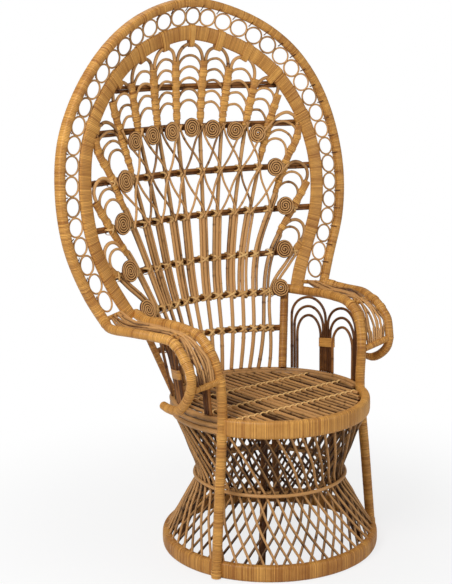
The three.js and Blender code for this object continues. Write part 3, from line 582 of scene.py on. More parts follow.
def cane_finish(kind):
    """Cane with its own tone per strip, fine fibres, mottling and dark grooves."""
    name = f"{kind}_cane_finish"
    material = bpy.data.materials.get(name)
    if material:
        return material
    material = bpy.data.materials.new(name)
    dark, light = (getattr(settings(), f"{kind}_{end}") for end in ("dark", "light"))
    _, roughness, grain, mottle, coat = FINISHES[kind]
    n = Nodes(material)
    lay = n.add("UVMap", uv_map="lay").outputs["UV"]
    stretch = (90, 1400, 1) if kind == "wrapped" else (1400, 60, 1)
    fibre_place = n.add("VectorMath", {0: lay, 1: stretch}, operation="MULTIPLY").outputs[0]
    fibre = n.add("TexNoise", {"Vector": fibre_place, "Scale": 1.0, "Detail": 3.0, "Roughness": 0.6})
    spot_place = n.add("TexCoord").outputs["Object"]
    spots = n.add("TexNoise", {"Vector": spot_place, "Scale": 34.0, "Detail": 4.0, "Roughness": 0.65})
    shade = n.add("Attribute", attribute_name="shade").outputs["Fac"]
    groove = n.add("Attribute", attribute_name="groove").outputs["Fac"]
    level = shade
    for noise, strength in ((fibre, grain), (spots, mottle)):
        sockets = {0: noise.outputs["Fac"], 1: strength, 2: level}
        level = n.add("Math", sockets, operation="MULTIPLY_ADD").outputs[0]
    middle = (grain + mottle) / 2
    level = n.add("MapRange", {"Value": level, "From Min": 0.1 + middle, "From Max": 0.9 + middle})
    colour = n.add("Mix", {0: level.outputs[0], 6: (*dark, 1), 7: (*light, 1)}, data_type="RGBA")
    # Painted shade: the colour is darkened by a tint in the grooves between strips.
    fade = n.add("Math", {0: groove, 1: GROOVE_SHADE_STRENGTH}, operation="MULTIPLY")
    sockets = {0: fade.outputs[0], 6: colour.outputs[2], 7: GROOVE_SHADE_TINT}
    groove_shaded = n.add("Mix", sockets, data_type="RGBA", blend_type="MULTIPLY")
    bump = n.add("Bump", {"Height": fibre.outputs["Fac"], "Strength": 0.25, "Distance": 0.0004})
    rough = n.add("MapRange", {
        "Value": fibre.outputs["Fac"], "From Min": 0.3, "From Max": 0.7,
        "To Min": roughness - 0.08, "To Max": roughness + 0.08,
    })
    shader = n.add("BsdfPrincipled", {
        "Base Color": groove_shaded.outputs[2], "Roughness": rough.outputs[0], "Normal": bump.outputs[0],
        "Coat Weight": coat, "Coat Roughness": 0.3, "Specular IOR Level": 0.25,
    })
    n.add("OutputMaterial", {"Surface": shader.outputs[0]})
    return material


def settings():
    return bpy.context.scene.peacock_chair


# Base.

def make_base_hoop():
    weaver = Weaver()
    ring = polar(BASE_RADIUS - BASE_BAND / 2, full_turn(360), BASE_HEIGHT / 2)
    weaver.wrap(ring, rounded(BASE_BAND, BASE_HEIGHT, 20, 3.4), closed=True, ridge=0.0005, base=0.34)
    weaver.make("base_hoop_wrap", "wrapped", ["base_hoop"])


def cane_lay(weaver, sense, tones):
    """One lay of the base's canes: each bends over the waist hoop."""
    shift = sense * LAY_SPACING / 2
    waist = WAIST_RADIUS - WAIST_ROD - CANE_ROD / 2 + (shift - LAY_SPACING / 2)
    top = SEAT_TOP - SEAT_BAND_HEIGHT
    for i in range(CANE_COUNT):
        angle = 2 * math.pi * (i + 0.5 * (sense < 0)) / CANE_COUNT
        wobble = rng.normal(0, CANE_WOBBLE, 3)
        rows = (
            (BASE_RADIUS - BASE_BAND / 2 + shift, -1, wobble[0], BASE_HEIGHT - CANE_SINK),
            ((BASE_RADIUS + waist) / 2 - CANE_HOLLOW, -0.46, wobble[1], (BASE_HEIGHT + WAIST_HEIGHT) / 2),
            (waist, 0, 0, WAIST_HEIGHT),
            ((SEAT_RADIUS + waist) / 2 - CANE_HOLLOW, 0.48, wobble[1], (top + WAIST_HEIGHT) / 2),
            (SEAT_RADIUS - SEAT_BAND / 2 + shift, 1, wobble[2], top + CANE_SINK),
        )
        points = spline([polar(r, angle + sense * CANE_TURN * turn + drift, z) for r, turn, drift, z in rows])
        shade = rng.uniform(*tones)
        weaver.rod(at_share(points, np.linspace(0, 1, 40)), CANE_ROD / 2, 7, shade=shade, knots=0.11)


def make_base_lattice():
    inner_waist = WAIST_RADIUS - WAIST_ROD - CANE_ROD - LAY_SPACING - WAIST_ROD / 2
    # The inner lay gets lower tones than the outer: painted shade for the inside of the base.
    for name, sense, radius, tones in (
        ("outer_lattice", 1, WAIST_RADIUS - WAIST_ROD / 2, (0.35, 1.15)),
        ("inner_lattice", -1, inner_waist, (-0.1, 0.5)),
    ):
        weaver = Weaver()
        cane_lay(weaver, sense, tones)
        weaver.rod(polar(radius, full_turn(160), WAIST_HEIGHT), WAIST_ROD / 2, 10, closed=True, shade=1.25)
        weaver.make(name + "_canes", "brown", [name])


def make_legs():
    weaver = Weaver()
    corners = ("right_rear", "right_front", "left_front", "left_rear")
    z = np.linspace(LEG_LIFT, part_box("leg_right_rear")[1].z, 160)
    bend = WAIST_HEIGHT - WAIST_ROD
    circles = [LEG_FOOT_CIRCLE, LEG_CIRCLE + LEG_FLARE, LEG_CIRCLE]
    radius = np.interp(z, [0, bend - LEG_BEND, bend + LEG_BEND], circles)
    radius = np.convolve(np.pad(radius, 9, "edge"), np.hanning(19) / np.hanning(19).sum(), "valid")
    for i in range(len(corners)):
        points = polar(radius, math.radians(45) + i * math.pi / 2, z)
        weaver.rod(points, LEG_RADIUS, 14, (0, 1, 0), knots=0.13)
    weaver.make("base_legs", "dark", [f"leg_{corner}" for corner in corners])


# Seat.

def make_seat_band():
    start = FRONT_POST_ANGLE + BAND_EDGE
    angle = np.linspace(start, 2 * math.pi - start, 160)
    arc = polar(SEAT_RADIUS - SEAT_BAND / 2, angle, SEAT_TOP - SEAT_BAND_HEIGHT / 2)
    weaver = Weaver()
    weaver.wrap(arc, rounded(SEAT_BAND, SEAT_BAND_HEIGHT, 22, 4), ridge=0.0004)
    weaver.make("seat_band_wrap", "wrapped", ["seat_front_band"])


def make_seat_rim():
    end = FRONT_POST_ANGLE - BAND_EDGE
    weaver = Weaver()
    rod = SEAT_BAND_HEIGHT / 6
    for layer in range(3):
        radius = SEAT_RADIUS - rod - 0.001 * layer
        z = SEAT_TOP - rod * (1 + 2 * layer)
        outer = polar(radius, np.linspace(-end, end, 240), z)
        weaver.rod(outer, rod, 14, shade=0.6 + 0.16 * layer, knots=0.16)
        if layer < 2:
            inner = polar(radius - 2 * rod, np.linspace(-end, end, 200), z - rod / 2)
            weaver.rod(inner, rod * 0.9, 12, shade=0.5, knots=0.19)
    weaver.make("seat_rim_rods", "brown", ["seat_rim"])


def make_seat_deck():
    weaver, lash = Weaver(), Weaver()
    radius = SEAT_RADIUS - SEAT_BAND - GAP
    z = SEAT_TOP - DECK_SINK - DECK_ROD / 2
    count = int((radius - DECK_ROD) / DECK_PITCH)
    for i in range(-count, count + 1):
        x = i * DECK_PITCH + rng.normal(0, 0.0008)
        end = math.sqrt(radius ** 2 - (abs(x) + DECK_ROD / 2) ** 2)
        line = columns(x, np.linspace(-end, end, 90) + CENTRE_Y, z + rng.normal(0, 0.0004))
        rod = DECK_ROD / 2 * rng.uniform(0.78, 0.98)
        weaver.rod(line, rod, 10, shade=rng.uniform(-0.5, 0.8), knots=0.13, painted_shading=0.75)
    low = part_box("seat_deck")[0].z + BEARER_LIFT
    for y in BEARER_ROWS:
        end = math.sqrt(radius ** 2 - (abs(y) + 0.007) ** 2)
        weaver.rod(columns(np.linspace(-end, end, 60), y + CENTRE_Y, low), BEARER_RADIUS, 10, shade=0.3)
    for row in DECK_LASH_ROWS:
        end = math.sqrt(radius ** 2 - row ** 2) - 0.004
        x = np.linspace(-end, end, 420)
        for turn in (0, math.pi):
            phase = x / DECK_PITCH * math.pi + math.pi / 2 + turn
            y = row + CENTRE_Y + DECK_LASH_SWAY * np.cos(phase)
            points = columns(x, y, z + np.sin(phase) * (DECK_ROD / 2 + 0.001))
            lash.sweep(points, rounded(DECK_LASH_WIDTH, DECK_LASH_DEPTH, 8, 2.5), shade=0.75)
    weaver.make("seat_deck_rods", "brown", ["seat_deck"])
    lash.make("seat_deck_lashing", "lashing")


# Posts and arms.

def arm_point(share):
    across, back, rise = share
    y = back * ARM_LENGTH - ARM_FRONT + CENTRE_Y
    return np.array([across * ARM_HALF_WIDTH, y, SEAT_TOP + rise * ARM_RISE])


def hoop_end(distance, reach):
    share = 1 + reach / lengths(outline)[-1]
    return on_back(inset(share, distance))[0][0]


def inner_rail():
    return spline([hoop_end(INNER_HOOP_INSET, INNER_HOOP_REACH / 2), *map(arm_point, INNER_RAIL)])


def outer_rail(near=False):
    return spline([hoop_end(OUTER_HOOP_WIDTH / 2, 0), *map(arm_point, NEAR_RAIL if near else OUTER_RAIL)])


def bind(weaver, points, radius, start, end):
    """Strips over a wrapped cane, between two distances along it."""
    size = 2 * radius + BINDING
    weaver.wrap(at_length(points, np.linspace(start, end, 12)), rounded(size, size, 18), (1, 0, 0), base=0.7)


def make_front_posts():
    rim = polar(SEAT_RADIUS - POST_RIM_IN, FRONT_POST_ANGLE, SEAT_TOP)
    foot = polar(BASE_RADIUS + POST_FOOT_OUT, FRONT_POST_ANGLE, POST_LIFT)
    root = spline([rear_post_ends()[1] + INNER_RAIL_START, *map(arm_point, INNER_RAIL)])
    route = np.vstack([root[:-1], spline([arm_point(INNER_RAIL[-1]), rim, rim + (foot - rim) * 0.5, foot])])
    total = lengths(route)[-1]
    for hand, side in HANDS.items():
        weaver = Weaver()
        weaver.wrap(route * side, rounded(2 * POST_RADIUS, 2 * POST_RADIUS, 18), (1, 0, 0))
        for share, width in POST_BINDINGS:
            ends = share * total - width / 2, min(share * total + width / 2, total)
            bind(weaver, route * side, POST_RADIUS, *ends)
        weaver.make(f"front_post_wrap_{hand}", "wrapped", [f"front_post_{hand}"])


def make_outer_rails():
    for hand, rail, curl, tip in (("right", OUTER_RAIL, CURL, 0.55), ("left", NEAR_RAIL, NEAR_CURL, 0.9)):
        end = spline([arm_point(s) for s in [rail[-1], *curl]])
        points = np.vstack([outer_rail(hand == "left")[:-1], end]) * HANDS[hand]
        size = 2 * RAIL_RADIUS * np.interp(np.linspace(0, 1, 60), [0, 0.9, 1], [1, 1, tip])
        weaver = Weaver()
        weaver.wrap(points, rounded(1, 1, 18)[None] * size[:, None, None], (1, 0, 0))
        total = lengths(points)[-1]
        for share, width in RAIL_BINDINGS:
            bind(weaver, points, RAIL_RADIUS, share * total, share * total + width)
        weaver.make(f"outer_arm_rail_wrap_{hand}", "wrapped", [f"outer_arm_rail_{hand}"])


def make_arm_rods():
    inner = inner_rail()
    shares = np.linspace(0.015, 1, 70)
    near = at_share(inner, shares)
    spread = np.interp(shares, *zip(*FAN_SPREAD))
    for hand, side in HANDS.items():
        outer = outer_rail(hand == "left")
        far = at_share(outer, shares)
        weaver, tie = Weaver(), Weaver()
        for i in range(FAN_RODS):
            sway = 0.04 * np.sin(shares * 9 + i * 1.7)
            middle = (FAN_RODS - 1) / 2
            across = (0.5 + (i - middle) / (2 * middle) * spread + sway * (shares < 0.9))[:, None]
            points = near * (1 - across) + far * across
            points[:, 2] += 0.0045 * np.cos(i * 2.4 + shares * 5)
            weaver.rod(points * side, FAN_ROD / 2, 9, shade=rng.uniform(0.1, 0.9), knots=0.12)
        weaver.make(f"arm_fan_rods_{hand}", "bare", [f"arm_fan_{hand}"])
        ends = at_share(np.array([inner[-1], outer[-1]]), np.linspace(0.1, 0.9, 20))
        tie.wrap(ends * side, rounded(2 * TIE_RADIUS, 2 * TIE_RADIUS, 16))
        for where, margin in FAN_TIES:
            a, b = at_share(inner, [where])[0], at_share(outer, [where])[0]
            line = a + (b - a) * np.linspace(margin, 1 - margin, 20)[:, None]
            tie.wrap(line * side, rounded(FAN_ROD * 1.5, FAN_ROD * 1.7, 12, 3))
        tie.make(f"arm_tie_wrap_{hand}", "wrapped")


def rear_post_ends():
    foot = polar(STALK_CIRCLE, REAR_POST_ANGLE, SEAT_TOP)
    return foot, on_back([place(COILS[-1])])[0][0] + REAR_POST_HEAD


def make_rear_posts():
    foot, head = rear_post_ends()
    points = foot + (head - foot) * np.linspace(0, 1.0, 40)[:, None]
    for hand, side in HANDS.items():
        weaver = Weaver()
        size = 2 * REAR_POST_RADIUS * (1 if hand == "right" else NEAR_REAR_POST_SHARE)
        weaver.wrap(points * side, rounded(size, size, 16), (0, 1, 0), base=0.2)
        weaver.make(f"rear_post_wrap_{hand}", "wrapped", [f"rear_post_{hand}"])


def panel_point(along, rise):
    angle = REAR_POST_ANGLE + (FRONT_POST_ANGLE - REAR_POST_ANGLE) * along
    return polar(STALK_CIRCLE, angle, SEAT_TOP) + (PANEL_LEAN + PANEL_LEAN_CHANGE * along) * rise


def make_side_panels():
    pitch = PANEL_PITCH / (STALK_CIRCLE * (FRONT_POST_ANGLE - REAR_POST_ANGLE))
    canes = []
    for start, end, tips in PANEL_BAYS:
        for i, tip in enumerate(tips):
            a, b = start + (i + 0.5) * pitch, end - (i + 0.5) * pitch
            spring, mid, span = tip - PANEL_ARCH_RISE, (a + b) / 2, (b - a) / 2
            turn = np.linspace(math.pi, 0, 25)
            bow = [(mid + span * math.cos(t), spring + PANEL_ARCH_RISE * math.sin(t)) for t in turn]
            places = [(a, 0.005), (a, spring * 0.5), *bow, (b, spring * 0.5), (b, 0.005)]
            points = spline([panel_point(*p) for p in places], 4)
            canes.append(at_share(points, np.linspace(0, 1, 70)))
    band = at_share(np.array([panel_point(0.47, rise) for rise in (0.34, 0.46)]), np.linspace(0, 1, 12))
    out = unit((band[0] - (0, CENTRE_Y, 0)) * (1, 1, 0))
    for hand, side in HANDS.items():
        weaver, tie = Weaver(), Weaver()
        for points in canes:
            shade = rng.uniform(0.45, 0.95)
            weaver.rod(points * side, PANEL_ROD / 2, 9, (1, 0.2, 0), shade=shade, knots=0.1)
        weaver.make(f"side_arch_canes_{hand}", "dark", [f"side_arches_{hand}"])
        tie.wrap(band * side, rounded(PANEL_BAND_WIDTH, PANEL_BAND_DEPTH, 18, 3), out * side)
        tie.make(f"side_arch_band_{hand}", "wrapped")


# Back.

def hoop(name, past, distance, section):
    """A wrapped hoop inset from the outline, which runs past its ends by a share of it."""
    weaver = Weaver()
    points, normals = on_back(inset(np.linspace(-past, 1 + past, 500), distance))
    weaver.wrap(points, section, normals)
    weaver.make(name + "_wrap", "wrapped", [name])


def make_outer_hoop():
    hoop("outer_hoop", 0.002, OUTER_HOOP_WIDTH / 2, rounded(OUTER_HOOP_WIDTH, OUTER_HOOP_DEPTH, 20, 3))


def make_inner_hoop():
    section = rounded(INNER_HOOP_WIDTH, INNER_HOOP_DEPTH, 22, 3.2)
    hoop("inner_hoop", INNER_HOOP_REACH / lengths(outline)[-1], INNER_HOOP_INSET, section)


def make_rings():
    weaver, ties = Weaver(), Weaver()
    turn = full_turn(36)
    reach = RING_WIDTH / 2 + 0.0005 - RING_ROD / 2
    distance = OUTER_HOOP_WIDTH + RING_WIDTH / 2
    for i in range(RING_COUNT):
        share = (i + 0.5) / RING_COUNT
        (centre,) = inset(share, distance)
        ends = inset([share - 0.5 / RING_COUNT, share + 0.5 / RING_COUNT], distance)
        stretch = np.linalg.norm(ends[1] - ends[0]) / 2 - RING_ROD / 2 + 0.001
        along = unit(ends[1] - ends[0])
        c, s = np.cos(turn)[:, None], np.sin(turn)[:, None]
        places = centre + c * stretch * along + s * reach * sideways(along)
        points, normals = on_back(places, np.cos(turn) * RING_ROD * 0.2)
        rod = RING_ROD / 2 * rng.uniform(0.93, 1.08)
        weaver.rod(points, rod, 8, normals, shade=rng.uniform(0.2, 0.9), closed=True)
    weaver.make("ring_strip_rings", "bare", ["ring_strip"])
    for i in range(1, RING_COUNT):
        share = i / RING_COUNT + rng.normal(0, 0.0006)
        inner = OUTER_HOOP_WIDTH + RING_TIE_REACH
        reach = np.linspace(OUTER_HOOP_WIDTH - rng.uniform(0.003, RING_TIE_REACH), inner, 6)
        places = np.vstack([inset(share, distance) for distance in reach])
        points, normals = on_back(places, np.linspace(OUTER_HOOP_DEPTH / 2 + 0.0006, 0.002, 6))
        ties.strip_loop(points, 0.0036, 0.0018, normals, shade=rng.uniform(0, 0.5), closed=False)
    ties.make("ring_ties", "dark")


def make_bars():
    out = -INNER_HOOP_DEPTH / 2 - BAR_RADIUS - GAP
    for i, (rise, reach) in enumerate(BARS, 1):
        weaver = Weaver()
        x = np.linspace(-reach, reach, 260) * BACK_HALF_WIDTH
        points, _ = on_back(columns(x, SEAT_TOP + rise * BACK_RISE), out)
        for side, shade in ((1, 0.45), (-1, 0.05)):
            waver = 0.0006 * np.sin(x * rng.uniform(14, 30) + rng.uniform(0, 6))
            rod = points + UP * (side * BAR_RADIUS * 0.86 + waver)[:, None]
            weaver.rod(rod, BAR_RADIUS * 0.95, 10, (0, -1, 0), shade=shade, knots=0.14)
        weaver.make(f"cross_bar_cane_{i}", "dark", [f"cross_bar_{i}"])


def spring_of(number, tip):
    """Where an arch with its tip at a place leaves a stalk: the place and the direction up it."""
    route = stalk_route(number)
    s = lengths(route)
    gaps = np.linalg.norm(route - tip, axis=1)
    near = int(gaps.argmin())
    where = max(s[near] - gaps[near], 0.001)
    point, ahead = at_length(route, [where, where + 0.004])
    return point, unit(ahead - point)


def arch_places(left, right, tip, sink, steps=30):
    """Places along an arch between two stalks."""
    feet = []
    for number, hand in ((left, 1), (right, -1)):
        point, along = spring_of(number, tip)
        feet.append((point + sideways(along) * hand * sink, along))
    middle = (feet[0][0] + feet[1][0]) / 2
    rise = np.linalg.norm(tip - middle)
    across = sideways(unit(tip - middle))
    span = abs(np.dot(feet[1][0] - feet[0][0], across)) / 2
    t = np.linspace(0, 1, steps)[:, None]
    halves = []
    for (point, along), sign in zip(feet, (-1, 1)):
        a, b, c, d = point, point + along * rise * 0.6, tip + across * sign * span * 0.6, tip
        halves.append(a * (1 - t) ** 3 + 3 * b * t * (1 - t) ** 2 + 3 * c * t ** 2 * (1 - t) + d * t ** 3)
    return np.vstack([halves[0], halves[1][-2::-1]])


def feather_tips(bay):
    first, last, arches = FEATHERS[bay]
    return [place(first) + (place(last) - place(first)) * share for share in np.linspace(0, 1, arches)]


def stalk_head(number):
    """Share of the rise where the stalk's two rods part."""
    bays = [bay for bay in (abs(number) - 1, abs(number)) if bay < len(FEATHERS)]
    heads = [spring_of(abs(number), place(FEATHERS[bay][0]))[0][1] for bay in bays]
    return (max(heads) - SEAT_TOP) / BACK_RISE


def in_pairs(name, count):
    """Number, hand and name of each piece: the first in the middle, the others on both sides."""
    yield 0, 1, f"{name}_0"
    for number in range(1, count):
        yield number, 1, f"{name}_{number}_right"
        yield number, -1, f"{name}_{number}_left"


def make_feathers():
    for bay, hand, name in in_pairs("feather", len(FEATHERS)):
        weaver = Weaver()
        for i, tip in enumerate(feather_tips(bay)):
            radius, sink = (ARCH_ROD / 2, ARCH_SINK) if i else (OUTER_ARCH_ROD / 2, OUTER_ARCH_ROD / 2)
            points, normals = on_back(arch_places(bay or -1, bay + 1, tip, sink) * (hand, 1))
            weaver.rod(points, radius, 10, normals, knots=0.15)
        weaver.make(name + "_arches", "bare", [name])


def wrap_width(share):
    """Width of a stalk's wrapping at a share of its length."""
    return np.interp(share, *zip(*WRAP_WIDTHS))


def make_stalks():
    wraps, rods = Weaver(), Weaver()
    share = np.linspace(0, 1, 80)
    bend = np.clip(np.minimum(share, 1 - share) * 18, 0.6, 1)
    for number, foot in enumerate(WRAP_FOOT, 1):
        head = stalk_head(number)
        tips = [tip for bay in (number - 1, number) if bay < len(FEATHERS) for tip in feather_tips(bay)]
        springs = [(spring_of(number, tip)[0][1] - SEAT_TOP) / BACK_RISE for tip in tips]
        for hand in (1, -1):
            points, normals = on_back(stalk_between(number * hand, foot, head, 60))
            sizes = columns(wrap_width(np.linspace(0, 1, 60)), WRAP_DEPTH)
            wraps.wrap(points, rounded(1, 1, 14, 2.6)[None] * sizes[:, None], normals, base=0.42)
            for spring in springs:
                if not foot + 0.01 < spring < head - 0.012:
                    continue
                points, normals = on_back(stalk_between(number * hand, spring - 0.006, spring + 0.004, 8))
                sleeve = wrap_width((spring - foot) / (head - foot)) + SLEEVE
                wraps.wrap(points, rounded(sleeve, SLEEVE_DEPTH, 14, 2.6), normals, base=0.75)
            points, normals = on_back(stalk_between(number * hand, 0.0005, foot + 0.01, 110))
            radius = STALK_RADIUS if number < 7 else LAST_STALK_RADIUS
            rods.rod(points, radius, 10, normals, shade=rng.uniform(0.0, 0.65), knots=0.17, painted_shading=0.75)
            low, high = BARS[5][0] - 0.006, BARS[3][0] + 0.006 if number < 5 else foot + 0.01
            dull = rng.choice((-1, 1))
            for side in ((-1, 1) if number < 5 else (1,)):
                places = stalk_between(number * hand, low, high, 80)
                offset = side * (SIDE_ROD_OUT + rng.uniform(-0.0002, 0.0012)) * bend
                places = places + sideways(unit(np.gradient(places, axis=0))) * offset[:, None]
                points, normals = on_back(places, 0.0004)
                shade = rng.uniform(*((-0.15, 0.25) if side == dull else (0.35, 0.8)))
                rods.rod(points, SIDE_ROD_RADIUS, 9, normals, shade=shade, knots=0.15, painted_shading=0.7)
    wraps.make("stalk_wraps", "wrapped")
    rods.make("stalk_rods", "bare")


def hoop_share(spot, distance):
    """Share of the outline at which a line inset from it passes closest to a place."""
    shares = np.linspace(0, 1, 1200)
    return shares[np.linalg.norm(inset(shares, distance) - spot, axis=1).argmin()]


def make_hoop_ties():
    """Sleeves of strips round the inner hoop and the heads of the arches and stalks."""
    weaver = Weaver()
    for spot, width, over in HOOP_TIES:
        for hand in ((1, -1) if spot[0] else (1,)):
            head = place(spot) * (hand, 1)
            share = hoop_share(head, INNER_HOOP_EDGE)
            (rim,) = inset(share, INNER_HOOP_EDGE)
            reach = min(np.linalg.norm(head - rim), 0.03) + OUTER_ARCH_ROD / 2 + over
            shares = share + np.linspace(-0.5, 0.5, 24) * width / lengths(outline)[-1]
            wide = (INNER_HOOP_WIDTH + 0.002 + reach) / 2
            points, normals = on_back(inset(shares, INNER_HOOP_EDGE + reach - wide))
            weaver.wrap(points, rounded(2 * wide, INNER_HOOP_DEPTH + 0.003, 22, 3.2), normals, base=0.62)
    weaver.make("hoop_ties", "wrapped")


def lash(weaver, spot, along, half_width, front, back):
    """A cross of two strips round a stalk and the bar behind it."""
    turn = full_turn(20)
    c, s = (np.sign(v) * np.abs(v) ** 0.6 for v in (np.cos(turn), np.sin(turn)))
    for lean in (1, -1):
        diagonal = sideways(along) * half_width + along * LASH_HALF_HEIGHT * lean
        depth = (front + back) / 2 + s * (front - back) / 2 + 0.0006 * lean
        points, normals = on_back(spot + c[:, None] * diagonal, depth)
        facing = unit(np.gradient(points, axis=0))
        flat = unit(np.cross(facing, np.cross(np.array([diagonal[0], 0, diagonal[1]]), normals)))
        weaver.strip_loop(points, LASH_STRIP, LASH_THICK, flat)


def make_lashings():
    weaver = Weaver()
    back = -INNER_HOOP_DEPTH / 2 - 2 * BAR_RADIUS - 0.002
    for number, foot in enumerate(WRAP_FOOT, 1):
        for rise, _ in BARS[2:]:
            if rise > stalk_head(number):
                continue
            size = LASH_ON_RODS if number < 5 and 0.19 < rise < 0.45 else LASH_ON_STALK
            for hand in (1, -1):
                a, b = stalk_between(number * hand, rise - 0.005, rise + 0.005, 2)
                lash(weaver, (a + b) / 2, unit(b - a), *(LASH_ON_WRAP if rise > foot else size), back)
    weaver.make("bar_lashings", "lashing")


def make_crossing_canes():
    weaver = Weaver()
    for first, outermost in ((1, 4), (2, 5)):
        top, foot = BARS[first][0], BARS[first + 1][0]
        numbers = [*range(-outermost, 0), *range(1, outermost + 1)]
        for a, b in zip(numbers, numbers[1:]):
            for lean, (start, end) in enumerate(((top, foot), (foot, top))):
                p = stalk_between(a, start, start, 1)[0]
                q = stalk_between(b, end, end, 1)[0]
                t = np.linspace(-0.06, 1.06, 30)[:, None]
                places = p + (q - p) * t
                places[:, 0] += CROSSING_SWAY * np.sin(t[:, 0] * 2 * math.pi) * (1 if lean else -1)
                out = INNER_HOOP_DEPTH / 2 + CROSSING_ROD / 2 + 0.0005 + (0.0022 if lean else 0)
                points, normals = on_back(places, out)
                shade = rng.uniform(-0.1, 0.8)
                weaver.rod(points, CROSSING_ROD / 2, 8, normals, shade=shade, knots=0.09, painted_shading=0.55)
    weaver.make("crossing_cane_rods", "bare", ["crossing_canes"])


def make_coils():
    for i, hand, name in in_pairs("coil", len(COILS)):
        edge = (SIDE_COIL_RADIUS if i > 3 and hand < 0 else COIL_RADIUS) - COIL_ROD / 2
        turns = (edge - COIL_EYE) / COIL_ROD + 0.5
        turned = np.linspace(0, turns, int(turns * 26))
        radius = edge - np.maximum(turned - 0.5, 0) * COIL_ROD
        taper = np.interp(turned, [0, 0.5], [0.5, 1])
        (centre,), (normal,) = on_back([place(COILS[i]) * (hand, 1)], COIL_OUT)
        side = unit(np.cross(UP, normal))
        angle = turned * 2 * math.pi + rng.uniform(0, 6)
        across = side * (hand * radius * np.cos(angle))[:, None]
        points = centre + across + np.cross(normal, side) * (radius * np.sin(angle))[:, None]
        tone = rng.uniform(0.85, 1.15) - 0.25 * (hand > 0)
        # Painted light and shade: each turn of the rod is darker at its sides and lighter at its front.
        tones = tone + np.interp(rounded(2, 2, 10)[:, 1], *COIL_PAINTED_SHADING)
        weaver = Weaver()
        section = rounded(COIL_ROD, COIL_DEPTH, 10)[None] * taper[:, None, None]
        weaver.sweep(points, section, normal, shade=np.broadcast_to(tones, (len(turned), 10)))
        core = centre + normal * np.linspace(-0.003, 0.0035, 3)[:, None]
        weaver.rod(core, COIL_CORE, 8, side, shade=0.1)
        weaver.make(name + "_cane", "bare", [name], "wrapped_cane")


# Stage.

def make_stage():
    s = settings()
    scene = bpy.context.scene
    bpy.ops.mesh.primitive_plane_add(size=30, location=(0, 0, 0))
    floor = bpy.context.object
    floor.name = "floor"
    material = bpy.data.materials.new("pale_floor")
    n = Nodes(material)
    camera_ray = n.add("LightPath").outputs["Is Camera Ray"]
    spot = n.add("TexCoord").outputs["Object"]
    away = n.add("VectorMath", {0: spot}, operation="LENGTH").outputs["Value"]
    fade = n.add("MapRange", {
        "Value": away, "From Min": 0.4, "From Max": 1.3, "To Min": 0.78, "To Max": 1.0,
    }, interpolation_type="SMOOTHSTEP")
    part = n.add("Math", {0: camera_ray, 1: fade.outputs[0]}, operation="MULTIPLY")
    diffuse = n.add("BsdfDiffuse", {"Color": (*s.floor_colour, 1)})
    glow = n.add("Emission", {"Color": WHITE, "Strength": 1.0})
    mixed = n.add("MixShader", {0: part.outputs[0], 1: diffuse.outputs[0], 2: glow.outputs[0]})
    n.add("OutputMaterial", {"Surface": mixed.outputs[0]})
    floor.data.materials.append(material)

    world = bpy.data.worlds.new("studio")
    scene.world = world
    n = Nodes(world)
    camera_ray = n.add("LightPath").outputs["Is Camera Ray"]
    light, white = (n.add("Background", {"Color": WHITE, "Strength": v}) for v in (s.world_light, 1.0))
    mixed = n.add("MixShader", {0: camera_ray, 1: light.outputs[0], 2: white.outputs[0]})
    n.add("OutputWorld", {"Surface": mixed.outputs[0]})

    for name, (at, size, share) in LAMPS.items():
        lamp = bpy.data.lights.new(name, "AREA")
        lamp.size, lamp.energy = size, s.key_light * share
        holder = bpy.data.objects.new(name, lamp)
        scene.collection.objects.link(holder)
        holder.location = at
        holder.rotation_euler = (Vector(LAMP_AIM) - Vector(at)).to_track_quat("-Z", "Y").to_euler()

    data = bpy.data.cameras.new("camera")
    data.lens = CAMERA_LENS
    data.shift_x = CAMERA_SHIFT
    camera = bpy.data.objects.new("camera", data)
    scene.collection.objects.link(camera)
    x, y = (-CAMERA_DISTANCE * f(CAMERA_AZIMUTH) for f in (math.sin, math.cos))
    camera.location = (x, y + CENTRE_Y, CAMERA_HEIGHT)
    camera.rotation_euler = (math.pi / 2 - CAMERA_DIP, 0, -CAMERA_AZIMUTH)
    scene.camera = camera
    scene.view_settings.view_transform = "Standard"


# Add-on.

def colour(name, value):
    return bpy.props.FloatVectorProperty(
        name=name, description=name, subtype="COLOR", default=value, min=0, max=1)


class PeacockChairSettings(bpy.types.PropertyGroup):
    strip: bpy.props.FloatProperty(
        name="Strip width", description="Width of the strips wound round the wrapped canes",
        default=0.0039, min=0.003, max=0.01, unit="LENGTH")
    wrapped_dark: colour("Darkest wrapped cane", (0.42, 0.17, 0.034))
    wrapped_light: colour("Palest wrapped cane", (0.84, 0.44, 0.105))
    bare_dark: colour("Darkest bare cane", (0.12, 0.045, 0.012))
    bare_light: colour("Palest bare cane", (0.62, 0.33, 0.12))
    brown_dark: colour("Darkest brown cane", (0.045, 0.017, 0.005))
    brown_light: colour("Palest brown cane", (0.54, 0.28, 0.10))
    dark_dark: colour("Darkest dark cane", (0.075, 0.024, 0.006))
    dark_light: colour("Palest dark cane", (0.4, 0.165, 0.042))
    lashing_dark: colour("Darkest lashing", (0.55, 0.28, 0.08))
    lashing_light: colour("Palest lashing", (0.84, 0.53, 0.21))
    floor_colour: colour("Floor", (0.86, 0.86, 0.86))
    key_light: bpy.props.FloatProperty(
        name="Key light", description="Power of the main lamp", default=60, min=0, unit="POWER")
    world_light: bpy.props.FloatProperty(
        name="Room light", description="Strength of the light from all round", default=0.30, min=0)


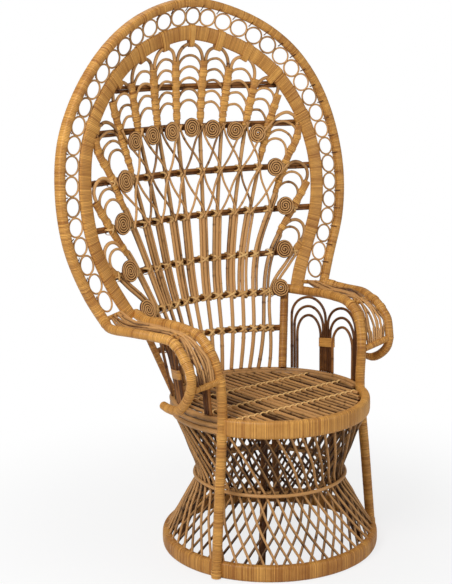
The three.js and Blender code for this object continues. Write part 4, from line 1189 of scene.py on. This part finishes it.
def operator(idname, label, text, makers):
    """An operator class for one group of pieces."""
    def execute(self, context):
        for maker in makers:
            maker()
        return {"FINISHED"}
    return type(f"PEACOCK_OT_{idname}", (bpy.types.Operator,), {
        "__doc__": text, "bl_idname": f"peacock.{idname}", "bl_label": label,
        "bl_options": {"REGISTER", "UNDO"}, "execute": execute,
    })


OPERATORS = [
    operator("stage", "Stage", "Makes the floor, the lamps and the camera", [make_stage]),
    operator("base", "Base", "Makes the base hoop, its lattice and the legs",
             [make_base_hoop, make_base_lattice, make_legs]),
    operator("seat", "Seat", "Makes the seat band, the rim rods and the deck",
             [make_seat_band, make_seat_rim, make_seat_deck]),
    operator("arms", "Arms", "Makes the posts, the rails and the bowed rods",
             [make_front_posts, make_outer_rails, make_arm_rods]),
    operator("sides", "Side panels", "Makes the rear posts and the nested side arches",
             [make_rear_posts, make_side_panels]),
    operator("hoops", "Hoops", "Makes the outer and inner hoops and the rings between them",
             [make_outer_hoop, make_inner_hoop, make_rings]),
    operator("fan", "Fan", "Makes the bars, the stalks, the feathers and the crossing canes",
             [make_bars, make_stalks, make_feathers, make_hoop_ties, make_crossing_canes, make_lashings]),
    operator("coils", "Coils", "Makes the wound coils", [make_coils]),
]


class PEACOCK_PT_panel(bpy.types.Panel):
    """Lists the chair's operators and settings"""
    bl_label = "Peacock Chair"
    bl_idname = "PEACOCK_PT_panel"
    bl_space_type = "VIEW_3D"
    bl_region_type = "UI"
    bl_category = "Peacock Chair"

    def draw(self, context):
        for item in OPERATORS:
            self.layout.operator(item.bl_idname)
        for name in PeacockChairSettings.__annotations__:
            self.layout.prop(context.scene.peacock_chair, name)


CLASSES = [PeacockChairSettings, *OPERATORS, PEACOCK_PT_panel]


def register():
    for item in CLASSES:
        bpy.utils.register_class(item)
    bpy.types.Scene.peacock_chair = bpy.props.PointerProperty(type=PeacockChairSettings)


def unregister():
    del bpy.types.Scene.peacock_chair
    for item in reversed(CLASSES):
        bpy.utils.unregister_class(item)


def main():
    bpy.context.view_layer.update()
    register()
    for item in OPERATORS:
        getattr(bpy.ops.peacock, item.bl_idname.split(".")[1])()


if __name__ == "__main__":
    main()
